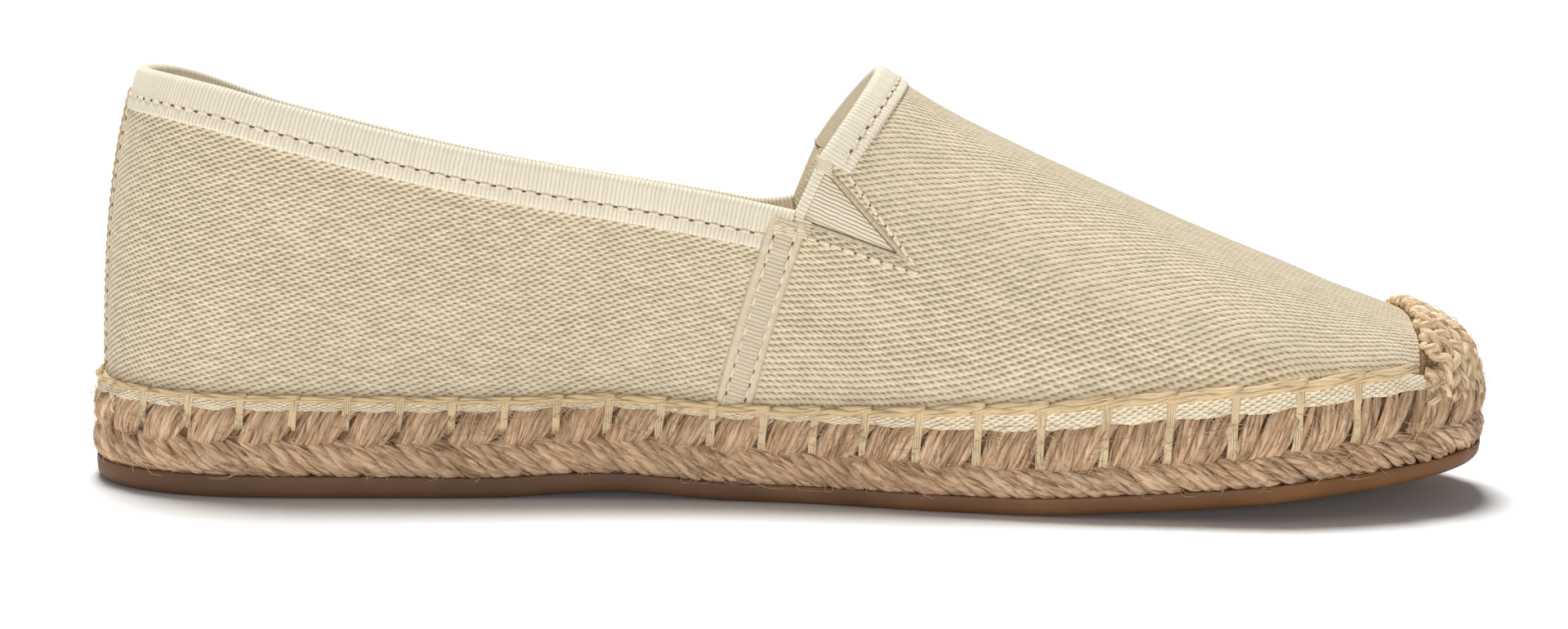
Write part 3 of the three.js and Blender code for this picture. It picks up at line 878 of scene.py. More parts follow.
def cloth_uv(turns, rise, points):
    """Cloth coordinates of one side in mm. On the quarter u runs level and on round the heel, and
    v is the girth from the feather line, tilted. On the vamp v is the distance from the ridge in
    the shoe's cross-section, so its rows follow the ridge and meet those of the other side."""
    x0 = station(turns)[0]
    s = np.interp(np.mod(turns, 2 * np.pi), LOOP_TURN, LOOP_LENGTH)
    s = np.where(turns > np.pi, LOOP - s, s)
    order = np.argsort(x0)
    level = s - np.interp(0.0, x0[order], s[order])
    fade = 1 - smoothstep(20, 80, x0) * (1 - (1 - rise) ** 2)
    u = points[..., 0] + (level - x0) * fade
    step = np.linalg.norm(np.diff(points, axis=0), axis=-1)
    girth = np.concatenate([np.zeros((1, len(turns))), np.cumsum(step, 0)])
    x, y, z = points[..., 0], points[..., 1], points[..., 2]
    aside = y - CENTRE_Y - crest_ridge(x)
    below = (crest_height(x) - z) * smoothstep(0, 12, np.abs(aside))
    down = -np.hypot(aside, below)
    slant = (TAPE_TOP[0] - TAPE_FOOT[0]) / (TAPE_TOP[1] - TAPE_FOOT[1])
    vamp = x > TAPE_FOOT[0] + (z - TAPE_FOOT[1]) * slant
    v = np.where(vamp, -np.sign(aside) * down, girth + QUARTER_FALL * u)
    return np.stack([u - COLUMN_LEAN * np.where(vamp, down, girth), v], -1)


def ring_uv(turns, rise_of, point_of, rows):
    """Corner uv of every cell of a two-sided shell, each side worked out on its own columns."""
    cells = []
    for own in (turns, (2 * np.pi - turns)[::-1]):
        share = np.linspace(0, 1, rows)[:, None]
        rise = share * rise_of(own)[None, :]
        cells.append(cloth_uv(own, rise, point_of(np.broadcast_to(own, rise.shape), rise)))
    left = np.concatenate([cell[:, :-1] for cell in cells], 1)
    right = np.concatenate([cell[:, 1:] for cell in cells], 1)
    return left, right


def ring_object(name, outer, inner, left, right, material, slot, open_first=True, open_last=True):
    """A closed two-walled shell over a loop of columns. Rims join the walls along the first and
    the last row, on the cells where they are open: all, none, or those of an array."""
    rows, cols, _ = outer.shape
    quads = grid_quads(rows, cols, wrap=True)
    index = np.arange(rows * cols).reshape(rows, cols)
    ahead = np.roll(index, -1, 1)

    def corner_uv(low, high):
        return np.stack([low[0], low[1], high[1], high[0]], -2)

    wall_uv = corner_uv((left[:-1], right[:-1]), (left[1:], right[1:])).reshape(-1, 4, 2)
    faces = [quads, quads[:, ::-1] + rows * cols]
    uvs = [wall_uv, wall_uv[:, ::-1]]
    for row, cells, turned in ((0, open_first, False), (-1, open_last, True)):
        cells = np.broadcast_to(cells, cols)
        a, b = index[row][cells], ahead[row][cells]
        quad = np.stack([b, a, a + rows * cols, b + rows * cols], -1)
        ua, ub = left[row][cells], right[row][cells]
        pair = np.stack([ub, ua, ua, ub], -2)
        faces.append(quad[:, ::-1] if turned else quad)
        uvs.append(pair[:, ::-1] if turned else pair)
    vertices = np.concatenate([outer.reshape(-1, 3), inner.reshape(-1, 3)])
    return make_object(name, vertices, np.concatenate(faces), np.concatenate(uvs),
                       material, slot, merge=True)


def plate_object(name, outer, inner, material, slot):
    """A plate over the shoe's whole plan, whose first row is a seam along its middle line."""
    plan = outer[..., :2]
    return ring_object(name, outer, inner, plan, np.roll(plan, -1, 1), material, slot, open_first=False)


def project(target, turn, rise, steps=6):
    """Turn and rise of the last's nearest point: Gauss-Newton on the squared distance. A target
    beyond the ridge is looked for on the other side."""
    turn, rise = np.broadcast_arrays(np.asarray(turn, float), np.asarray(rise, float))
    turn, tiny = np.mod(turn, 2 * np.pi), 1e-4
    ridge_y = CENTRE_Y + crest_ridge(target[..., 0])
    lateral = turn > np.pi
    crossed = (rise > 0.75) & ((target[..., 1] > ridge_y) != lateral)
    turn = np.where(crossed, 2 * np.pi - turn, turn)
    for _ in range(steps):
        here = form(turn, rise)
        dt = (form(turn + tiny, rise) - here) / tiny
        dr = (here - form(turn, rise - tiny)) / tiny
        miss = target - here
        a, b, c = (dt * dt).sum(-1), (dt * dr).sum(-1), (dr * dr).sum(-1)
        gt, gr = (miss * dt).sum(-1), (miss * dr).sum(-1)
        det = np.maximum(a * c - b * b, 1e-6)
        turn = turn + np.clip((c * gt - b * gr) / det, -0.08, 0.08)
        rise = np.clip(rise + np.clip((a * gr - b * gt) / det, -0.08, 0.08), 0.001, 1)
    return turn, rise


def along(points):
    """Running length of a line of points."""
    return np.concatenate([[0], np.cumsum(np.linalg.norm(np.diff(points, axis=0), axis=1))])


def sample(at, length, values):
    """Values along a line, read at any lengths."""
    return np.stack([np.interp(at, length, values[:, i]) for i in range(values.shape[1])], -1)


def even_path(turn, rise, step):
    """The same line over the last with points an even step apart."""
    length = along(canvas_point(turn, rise))
    at = np.linspace(0, length[-1], int(length[-1] / step) + 1)
    return np.interp(at, length, turn), np.interp(at, length, rise)


def band_points(turn, rise, toward, profile):
    """Points of a profile carried along a line over the last. Each profile row is the distance
    from the line into the cloth, the height over the cloth, and the reach back past the edge."""
    points, normal = canvas_point(turn, rise), shell_normal(turn, rise)
    tangent = unit(np.gradient(points, axis=0))
    into = unit(np.cross(normal, tangent))
    into = into * np.where((into * toward).sum(-1, keepdims=True) < 0, -1, 1)
    rows, normals = [], []
    for distance, height, back in profile:
        place = project(points + into * distance, turn, rise) if distance else (turn, rise)
        own = shell_normal(*place)
        rows.append(canvas_point(*place) + own * height - into * back)
        normals.append(own)
    return np.array(rows), np.array(normals)


def binding_profiles(width, inside, proud, groove=None, cloth=1.6, thickness=0.5):
    """Outer and inner profile of a folded tape: flat outside with a sunk stitch line, half a turn
    over the rim of the cloth, and a short leg inside."""

    def rows(distance, height, back=0.0):
        return np.stack(np.broadcast_arrays(distance, height, back), 1)

    down = np.concatenate([[width, width - 0.12], np.linspace(width - 0.4, 0.3, 16)])
    height = np.full_like(down, proud)
    height[:2] = 0.12, proud * 0.75
    if groove is not None:
        height = height - 0.26 * np.exp(-(((down - groove) / 0.45) ** 2))
    turn = np.linspace(0, np.pi, 9)
    leg = np.linspace(0.4, inside, 6)
    radius = cloth / 2 + proud
    walls = []
    for face, outside, inner_side in ((radius, height, -cloth - proud),
                                      (radius - thickness, 0.04, -cloth - 0.04)):
        over = rows(0.0, -cloth / 2 + face * np.cos(turn), face * np.sin(turn))
        walls.append(np.concatenate([rows(down, outside), over, rows(leg, inner_side)]))
    return walls


def band_object(name, turn, rise, toward, outer, inner, material, slot, flip=False):
    """A folded tape along a line, its ribs counted in mm along the line."""
    top, _ = band_points(turn, rise, toward, outer)
    under, _ = band_points(turn, rise, toward, inner)
    run = along(canvas_point(turn, rise))
    width = along(top[:, len(run) // 2])
    uv = np.stack(np.broadcast_arrays(run[None, :], width[:, None]), -1)
    if flip:
        top, under, uv = top[:, ::-1], under[:, ::-1], uv[:, ::-1]
    return slab_object(name, top, under, uv, material, slot)


def stitches(points, normals, pitch=2.75, share=0.76, radius=0.30, lift=0.16, seed=0):
    """Thread lying on a line as short arcs that dip into a needle hole at each end. Returns the
    tubes of the threads and the dark tubes between them that paint the shade in the holes."""
    rng = np.random.default_rng(SEED + seed)
    length = along(points)
    count = max(2, int(length[-1] / pitch))
    step = length[-1] / count
    start = (np.arange(count) + 0.12 + rng.uniform(-0.05, 0.05, count)) * step
    t = np.linspace(0, 1, 7)
    at = start[:, None] + t[None, :] * share * step
    arc = lift + 0.20 * np.sin(np.pi * t) - 0.25 * (np.abs(2 * t - 1) > 0.9)
    normal = unit(sample(at, length, normals))
    path = sample(at, length, points) + normal * arc[None, :, None]
    thread = closed_tubes(path, normal, radius * 1.15, radius * 0.85, 6)
    # Painted shade: short dark tubes stand in each needle hole between the stitches.
    gap = start[:-1, None] + (share + (1 - share) / 2 + np.array([-0.13, 0, 0.13])) * step
    normal = unit(sample(gap, length, normals))
    hole = closed_tubes(sample(gap, length, points) + normal * 0.10, normal, 0.19, 0.11, 6)
    return thread, hole


def add_stitches(threads, holes, *row):
    """Adds one row of stitches to the lists of threads and of dark tubes of painted hole shade."""
    thread, hole = stitches(*row)
    threads.append(thread)
    holes.append(hole)


def side_line(start, end, side, step=0.8, offset=0.0):
    """A straight line of the side view laid over the canvas, with its normals."""
    x, z = np.linspace(start, end, int(math.dist(start, end) / step) + 2).T
    return on_side(x, z, side, np.full(len(x), offset))


# ---------------------------------------------------------------------------
# Settings
# ---------------------------------------------------------------------------


def length_setting(name, description, default):
    """A length in metres that the panel shows."""
    return bpy.props.FloatProperty(
        name=name, description=description, default=default, unit="LENGTH", precision=5)


def colour_setting(name, description, default):
    """A colour that the panel shows."""
    return bpy.props.FloatVectorProperty(
        name=name, description=description, default=default, subtype="COLOR", min=0, max=1)


class EspadrilleUpper(bpy.types.PropertyGroup):
    """Sizes and colours of the cloth upper."""

    canvas: colour_setting("Canvas", "Colour of the natural canvas", linear(222, 207, 178))
    binding: colour_setting("Binding", "Colour of the grosgrain binding", linear(243, 232, 210))
    cloth: length_setting("Canvas thickness", "Thickness of the outer canvas", 0.001)
    binding_width: length_setting("Binding width", "How far the collar binding reaches down", 0.007)
    throat_width: length_setting("Throat binding", "Width of the binding over the instep", 0.0054)
    tape_width: length_setting("Side tape width", "Width of the tape over each side seam", 0.0068)


class EspadrilleSole(bpy.types.PropertyGroup):
    """Sizes and colours of the sole and its threads."""

    jute: colour_setting("Jute", "Middle colour of the jute yarn", linear(200, 160, 122))
    upper_yarns: bpy.props.IntProperty(
        name="Yarns per bunch", description="Yarns between two blanket stitches", default=6, min=4)
    yarn: length_setting("Yarn radius", "Half the thickness of a jute yarn", 0.00082)
    hairs: bpy.props.IntProperty(
        name="Loose fibres", description="How many fibres stand off the jute", default=1700, min=0)
    thread: length_setting("Blanket thread", "Half the thickness of the blanket thread", 0.00042)


class EspadrilleStage(bpy.types.PropertyGroup):
    """The camera and the studio lights."""

    lens: bpy.props.FloatProperty(
        name="Lens", description="Focal length of the camera", default=79.39, subtype="DISTANCE_CAMERA")
    distance: length_setting("Camera distance", "Distance in front of the shoe", 0.650)
    height: length_setting("Camera height", "Height over the floor", 0.110)
    key: bpy.props.FloatProperty(
        name="Key light", description="Strength of the soft light from above and behind", default=3.55)
    softness: bpy.props.FloatProperty(
        name="Key softness", description="Angle that the key light fills", default=0.36, subtype="ANGLE")
    fill: bpy.props.FloatProperty(
        name="Fill light", description="Power of the broad front light", default=23.0, unit="POWER")
    sky: bpy.props.FloatProperty(
        name="Surroundings", description="Strength of the white surroundings", default=0.13)


def upper_settings():
    return bpy.context.scene.espadrille_upper


def sole_settings():
    return bpy.context.scene.espadrille_sole


# ---------------------------------------------------------------------------
# Pieces
# ---------------------------------------------------------------------------


class ESPADRILLE_OT_upper(bpy.types.Operator):
    """Builds the canvas upper and its cotton lining"""

    bl_idname = "espadrille.upper"
    bl_label = "Canvas upper"

    def shell(self, name, columns, rows, outside, inside, material, slot, pocket):
        """The last's surface from the feather line to the opening or the ridge, as two walls
        moved out and in along its normal and sunk in the gores' pockets."""
        turns = side_turns(columns)
        loop = both_sides(turns)
        edge = rise_at_edge(loop)
        share = np.linspace(0, 1, rows)[:, None]
        turn = np.broadcast_to(loop, (rows, len(loop)))
        rise = share * edge[None, :]
        points, normal = canvas_point(turn, rise), shell_normal(turn, rise)
        sunk = gore_depth(points) * pocket
        outer = points + normal * (outside + sunk)[..., None]
        inner = points + normal * (inside + sunk * 0.4)[..., None]
        closed = edge > 0.9995
        open_last = ~(closed & np.roll(closed, -1))
        left, right = ring_uv(turns, rise_at_edge, form, rows)
        return ring_object(name, outer, inner, left, right, material, slot, open_last=open_last)

    def execute(self, context):
        cloth = upper_settings().cloth / MM
        canvas = self.shell("canvas_upper", 270, 56, 0.0, -cloth, finish_of("canvas"), "canvas", 1.0)
        self.shell("cotton_lining", 150, 34, -cloth - 0.05, -cloth - 0.6,
                   finish_of("lining"), "lining", 0.4)
        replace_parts(canvas, "upper")
        return {"FINISHED"}


def spine_ring(turns, share, out, z_of):
    """Points between the middle line of the shoe (share 0) and the feather line pushed out."""
    _, _, ridge_x, _ = station(turns)
    edge = loop_edge(np.interp(turns, LOOP_TURN, LOOP_LENGTH), out)
    px = ridge_x + (edge[..., 0] - ridge_x) * share
    py = CENTRE_Y + (edge[..., 1] - CENTRE_Y) * share
    return np.stack([px, py, z_of(px)], -1)


class ESPADRILLE_OT_sock(bpy.types.Operator):
    """Builds the footbed: a thin cotton-covered sock with a soft raised edge"""

    bl_idname = "espadrille.sock"
    bl_label = "Sock"

    def execute(self, context):
        loop = both_sides(side_turns(130))
        shares = np.concatenate([np.linspace(0, 0.86, 12), [0.92, 0.96, 0.985, 1.0]])
        inset = -(WALL + 0.65)

        def layer(height, roll):
            return np.array([
                spine_ring(loop, s, inset, lambda x, s=s: feather_z(x) + height - roll * s**30)
                for s in shares])

        bottom, top = layer(0.3, 0.0), layer(2.9, 0.7)
        for middle, spread, depth in ((-92, 34, 0.8), (62, 30, 0.6)):
            worn = np.exp(-(((top[..., 0] - middle) / spread) ** 2)) * (1 - shares[:, None] ** 2)
            top[..., 2] -= depth * worn
        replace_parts(plate_object("cotton_sock", bottom, top, finish_of("sock"), "lining"), "insole")
        return {"FINISHED"}


def collar_path(limit=1.0, step=0.6):
    """The collar's rim from the medial gore round the heel to the lateral gore."""
    turn = np.linspace(0.0, 1.75, 900)
    start, end = (
        turn[np.argmax(canvas_point(own, rise_at_edge(own))[:, 0] > limit)]
        for own in (turn, 2 * np.pi - turn))
    fine = np.linspace(start, -end, 900)
    length = along(canvas_point(fine, rise_at_edge(fine % (2 * np.pi))))
    even = np.interp(np.linspace(0, length[-1], int(length[-1] / step)), length, fine)
    return even, rise_at_edge(even % (2 * np.pi))


def throat_path(step=0.6):
    """The rim over the instep, from one gore's head over the ridge to the other's. At each rise,
    the turn is where the last passes under the throat's curve."""
    halves = []
    for side in (-1, 1):
        head = GORE_HEAD[1] - (lateral_drop(GORE_HEAD[0], 30.0) if side > 0 else 0)
        _, low = locate(GORE_HEAD[0] + 0.3, head + 0.8, side)
        rises = 1 - (1 - float(low)) * (1 - np.linspace(0, 1, 60))
        turns = np.linspace(1.45, 2.2, 900)
        turns = turns if side < 0 else 2 * np.pi - turns
        under = -over_opening(form(turns[None, :], rises[:, None]))
        halves.append(even_path(first_crossing(turns, under), rises, step))
    medial, lateral = halves
    return tuple(np.concatenate([a, b[::-1][1:]]) for a, b in zip(medial, lateral))


class ESPADRILLE_OT_bindings(bpy.types.Operator):
    """Builds the grosgrain bindings of the collar and of the throat, with their stitching"""

    bl_idname = "espadrille.bindings"
    bl_label = "Bindings"

    def execute(self, context):
        threads, holes = [], []
        down, ahead = np.array([0.0, 0, -1]), np.array([1.0, 0, 0])
        for name, path, toward, width, seam_in in (
            ("collar_binding", collar_path(), down, upper_settings().binding_width, 2.6),
            ("throat_binding", throat_path(), ahead, upper_settings().throat_width, 2.1),
        ):
            seam = width / MM - seam_in
            outer, inner = binding_profiles(width / MM, 5.0, 0.55, seam)
            band_object(name, *path, toward, outer, inner, finish_of("binding"), "binding")
            rows, normals = band_points(*path, toward, [(seam, 0.32, 0.0)])
            add_stitches(threads, holes, rows[0][2:-2], normals[0][2:-2], 2.8, 0.70, 0.26, 0.06, 14)
        tube_object("binding_stitches", threads, finish_of("stitch"), "thread")
        # Dark tubes that paint the shade in the needle holes.
        tube_object("binding_needle_holes", holes, finish_of("pit"), "thread")
        return {"FINISHED"}


# Side-view sizes of the gores, in mm. The elastic's ribs fall more steeply than its lower seam.
RIB_STEEPER = 1.6
GORE_LOWER_STITCH = ((3.0, 48.5), (23.7, 42.4))
GORE_UPPER_STITCH = ((10.7, 59.6), (23.0, 43.8))
# Each seam with its hem's half height, the radius of the brown cord of painted shadow and its distance
# inside the seam.
GORE_SEAMS = (
    (GORE_SEAM_FOOT, GORE_TIP, 0.26, 0.1, 0.5),
    (GORE_HEAD, GORE_TIP, 0.3, 0.18, -0.5),
)
# Where the thread bars start and end beside a corner, and how far apart they are.
GORE_BARS = ((GORE_FOOT, (-0.6, -0.2), (2.6, -1.0), 0.6), (GORE_HEAD, (-0.9, 1.3), (1.9, -0.3), 0.5))
BARS = 5


def moved_aside(start, end, distance):
    """A line of the side view moved sideways: up, where it runs forwards, for a distance over 0."""
    length = math.dist(start, end)
    nx = -(end[1] - start[1]) / length * distance
    nz = (end[0] - start[0]) / length * distance
    return (start[0] + nx, start[1] + nz), (end[0] + nx, end[1] + nz)


class ESPADRILLE_OT_gores(bpy.types.Operator):
    """Builds both elastic gores with their bound edges, folded hems, bars and stitching"""

    bl_idname = "espadrille.gores"
    bl_label = "Gores"

    def panel(self, side, name, node):
        """A triangle fanned from its short edge to its tip, sunk but swelling in the middle."""
        a = np.linspace(0.0, 0.985, 60)[None, :]
        b = np.linspace(0.02, 0.98, 40)[:, None]
        x, z = (lerp(lerp(foot, head, b), tip, a)
                for foot, head, tip in zip(GORE_SEAM_FOOT, GORE_HEAD, GORE_TIP))
        outer, normal = on_side(x, z, side, -0.55 + 0.4 * np.sin(np.pi * b) * (1 - a**2))
        inner = outer - normal * 0.4
        run, fall = GORE_TIP[0] - GORE_SEAM_FOOT[0], GORE_TIP[1] - GORE_SEAM_FOOT[1] - RIB_STEEPER
        dx, dz = x - GORE_SEAM_FOOT[0], z - GORE_SEAM_FOOT[1]
        uv = np.stack([dx * run + dz * fall, dz * run - dx * fall], -1) / math.hypot(run, fall)
        outer, inner, uv = (grid[::-side] for grid in (outer, inner, uv))
        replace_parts(slab_object(name, outer, inner, uv, finish_of("elastic"), "elastic"), node)

    def bound_edge(self, side, name):
        """A narrow folded tape over the gore's short edge."""
        x, z = np.linspace(GORE_FOOT, GORE_HEAD, 26).T
        drop = lateral_drop(x, 30.0) if side > 0 else 0.0
        turn, rise = locate(x, z - drop, side)
        outer, inner = binding_profiles(1.2, 2.2, 0.3, cloth=1.3)
        band_object(name, turn, rise, np.array([1.0, 0, -0.45]), outer, inner, finish_of("binding"),
                    "binding", flip=side > 0)

    def execute(self, context):
        threads, holes, hems, brown = [], [], [], []
        for side, label in ((-1, "medial"), (1, "lateral")):
            self.panel(side, "gore_elastic_" + label, "gore_" + label)
            self.bound_edge(side, "gore_bound_edge_" + label)
            for number, (start, end) in enumerate((GORE_LOWER_STITCH, GORE_UPPER_STITCH)):
                line = side_line(start, end, side)
                add_stitches(threads, holes, *line, 2.35, 0.78, 0.32, 0.2, 3 * number + side)
            for start, end, hem, radius, inside in GORE_SEAMS:
                points, normals = side_line(start, end, side, 0.5, -0.12)
                hems.append(closed_tubes(points[None], normals[None], hem * 1.5, hem, 8))
                # A thin brown cord just off each seam: painted shadow along the edge.
                points, normals = side_line(*moved_aside(start, end, inside), side, 0.5, -0.35)
                brown.append(closed_tubes(points[None], normals[None], radius, radius, 6))
            for corner, start, end, apart in GORE_BARS:
                for number in range(BARS):
                    ends = (np.add(corner, place) - (0, apart * number) for place in (start, end))
                    points, normals = side_line(*ends, side, 0.4)
                    t = np.linspace(0, 1, len(points))
                    points = points + normals * (0.12 + 0.45 * np.sin(np.pi * t))[:, None]
                    threads.append(closed_tubes(points[None], normals[None], 0.3, 0.24, 6))
        tube_object("gore_hems", hems, finish_of("fold"), "canvas")
        tube_object("gore_edge_cords", brown, finish_of("brown"), "thread")
        # The brown cords of painted shadow along the gore seams.
        tube_object("gore_stitches", threads, finish_of("stitch"), "thread")
        # Dark tubes that paint the shade in the needle holes.
        tube_object("gore_needle_holes", holes, finish_of("pit"), "thread")
        return {"FINISHED"}


TAPE_SEAM = 1.85
TAPE_RISE = 0.85


class ESPADRILLE_OT_tapes(bpy.types.Operator):
    """Builds the ribbed tapes over the side seams and the raised back seam"""

    bl_idname = "espadrille.tapes"
    bl_label = "Seam tapes"

    def place(self, down, aside):
        """Side-view x and z at a distance down the tape and aside of its middle line."""
        length = math.dist(TAPE_TOP, TAPE_FOOT)
        ux, uz = (TAPE_FOOT[0] - TAPE_TOP[0]) / length, (TAPE_FOOT[1] - TAPE_TOP[1]) / length
        return TAPE_TOP[0] + ux * down - uz * aside, TAPE_TOP[1] + uz * down + ux * aside

    def tape(self, side, name):
        """A slightly bowed flat strip with thin edges and a dip along each row of stitches. Its
        top lies over the binding."""
        down = np.linspace(0, 1, 120)[None, :]
        across = np.concatenate([[-1, -0.97], np.linspace(-0.9, 0.9, 19), [0.97, 1]])[:, None]
        width = across * upper_settings().tape_width / MM / 2
        bow = -0.5 * np.sin(np.pi * down)
        down = down * math.dist(TAPE_TOP, TAPE_FOOT)
        x, z = self.place(down, width + bow)
        dips = sum(0.4 * np.exp(-(((width - at) / 0.4) ** 2)) for at in (-TAPE_SEAM, TAPE_SEAM))
        height = TAPE_RISE * (1 - np.abs(across) ** 16) - dips + 0.02
        outer, _ = on_side(x, z, side, height + 0.5 * (1 - smoothstep(5.0, 7.5, down)))
        inner, _ = on_side(x, z, side, np.full_like(x, 0.01))
        uv = np.stack(np.broadcast_arrays(down, width), -1)
        outer, inner, uv = (grid[::side] for grid in (outer, inner, uv))
        slab_object(name, outer, inner, uv, finish_of("tape"), "binding")

    def tape_stitches(self, side, threads, holes):
        """Two rows down the tape and a few bars across its top."""
        for number, at in enumerate((-TAPE_SEAM, TAPE_SEAM)):
            start = self.place(1.0, at)
            end = self.place(math.dist(TAPE_TOP, TAPE_FOOT), at)
            points, normals = side_line(start, end, side)
            lift = 0.5 + 0.5 * (1 - smoothstep(4.0, 6.5, along(points)))
            lifted = points + normals * lift[:, None]
            add_stitches(threads, holes, lifted, normals, 2.7, 0.72, 0.27, 0.08, number)
        for number in range(3):
            ends = (np.add(TAPE_TOP, place) - (0, 0.5 * number) for place in ((-3.0, -0.8), (3.6, -2.0)))
            line = side_line(*ends, side, 0.6, 1.1)
            threads.append(stitches(*line, 2.2, 0.8, 0.25, 0.1, 40 + number)[0])

    def back_seam(self, threads, holes):
        """A ridge with small knots up the heel, and a row of stitches on each side of it."""
        turn = np.zeros(120)
        rise = np.linspace(0.012, float(rise_at_edge(np.zeros(1))[0]) * 0.93, 120)
        points, normals = canvas_point(turn, rise), shell_normal(turn, rise)
        knots = 0.12 * np.sin(along(points) * 2 * np.pi / 1.7)[None]
        ridge = closed_tubes((points + normals * 0.45)[None], normals[None],
                             1.25 + knots, 0.95 + knots, 12)
        tube_object("back_seam_ridge", [ridge], finish_of("frayed"), "canvas")
        for shift in (-0.085, 0.085):
            line, own = canvas_point(turn + shift, rise), shell_normal(turn + shift, rise)
            add_stitches(threads, holes, line, own, 2.7, 0.74, 0.25, 0.05, 60)

    def execute(self, context):
        threads, holes = [], []
        for side, label in ((-1, "medial"), (1, "lateral")):
            self.tape(side, "side_tape_" + label)
            self.tape_stitches(side, threads, holes)
        self.back_seam(threads, holes)
        tube_object("seam_stitches", threads, finish_of("stitch"), "thread")
        # Dark tubes that paint the shade in the needle holes.
        tube_object("seam_needle_holes", holes, finish_of("pit"), "thread")
        return {"FINISHED"}


# The x of the toe cover's back edge at its top, how fast it slants forward below a height, and
# how far past it the canvas edge and the blanket stitches run on.
COVER_FROM = 116.0
COVER_SLANT = 0.11
COVER_SLANT_BELOW = 36.0
STRIP_UNDER_COVER = 1.1
THREAD_UNDER_COVER = 1.6


def uncovered(s):
    """True along the feather line where the toe cover doesn't hide the blanket stitch."""
    return station(turn_at(s))[0] < COVER_FROM + THREAD_UNDER_COVER


class ESPADRILLE_OT_edge_strip(bpy.types.Operator):
    """Builds the folded canvas strip that shows over the jute, with a frayed lower edge"""

    bl_idname = "espadrille.edge_strip"
    bl_label = "Canvas edge"

    def execute(self, context):
        rng = np.random.default_rng(SEED + 5)
        medial, lateral = loop_lengths_at(COVER_FROM + STRIP_UNDER_COVER)
        start, end = lateral - LOOP, medial
        s = np.linspace(start, end, 1500)
        rows = np.linspace(0, 1, 12)[:, None]
        wave = np.cos(2 * np.pi * phase_at(s))[None, :]
        ragged = np.convolve(rng.normal(0, 1, len(s) + 6), np.ones(7) / 7, "valid")[None, :]
        taper = smoothstep(end, end - 14, s) * smoothstep(start, start + 14, s)
        top = strip_height(station(turn_at(s))[0])[None, :] + 1.1
        bottom = -0.05 + 0.22 * ragged * (1 - rows) ** 3 + 0.2 * wave
        rise = bottom + (top - bottom) * rows * (0.55 + 0.45 * taper)[None, :]
        belly = np.sin(np.pi * rows**0.8)
        out = 1.75 - 1.15 * rows + (0.35 - 0.28 * wave) * belly

        def layer(push):
            """The strip's face, moved outwards by push."""
            points = loop_edge(np.broadcast_to(s, rise.shape), out + push, feather_z)
            points[..., 2] += rise
            return points

        uv = np.stack(np.broadcast_arrays(s[None, :], rows * 5.0), -1)
        slab_object("canvas_edge_strip", layer(0.0), layer(-0.7), uv, finish_of("strip"), "canvas")
        return {"FINISHED"}


def v_line(x):
    """Height of the groove between the two rows of jute."""
    return rubber_top_z(x) + jute_thickness(x) * (0.46 - 0.10 * smoothstep(0, 50, x))


# How far a row of jute bulges out, and how far the middle of its roll lies inside the sole's edge.
ROW_BULGE = 2.0
ROW_INSIDE = 2.7


def row_point(s, angle, low, high, out):
    """A point on a rounded row of jute: half a turn between two heights, standing out from the
    feather line. angle runs from -90 degrees below to 90 above."""
    points = loop_edge(s, out + ROW_BULGE * np.cos(angle))
    x = points[..., 0]
    bottom, top = low(x), high(x)
    points[..., 2] = (bottom + top) / 2 + (top - bottom) / 2 * np.sin(angle)
    return points


def outward(points):
    """Unit directions away from the row's inner side, level with the floor."""
    away = points.copy()
    x = np.clip(points[..., 0], -95, 80)
    away[..., 0] -= x
    away[..., 1] -= CENTRE_Y
    away[..., 2] = 0
    return unit(away)


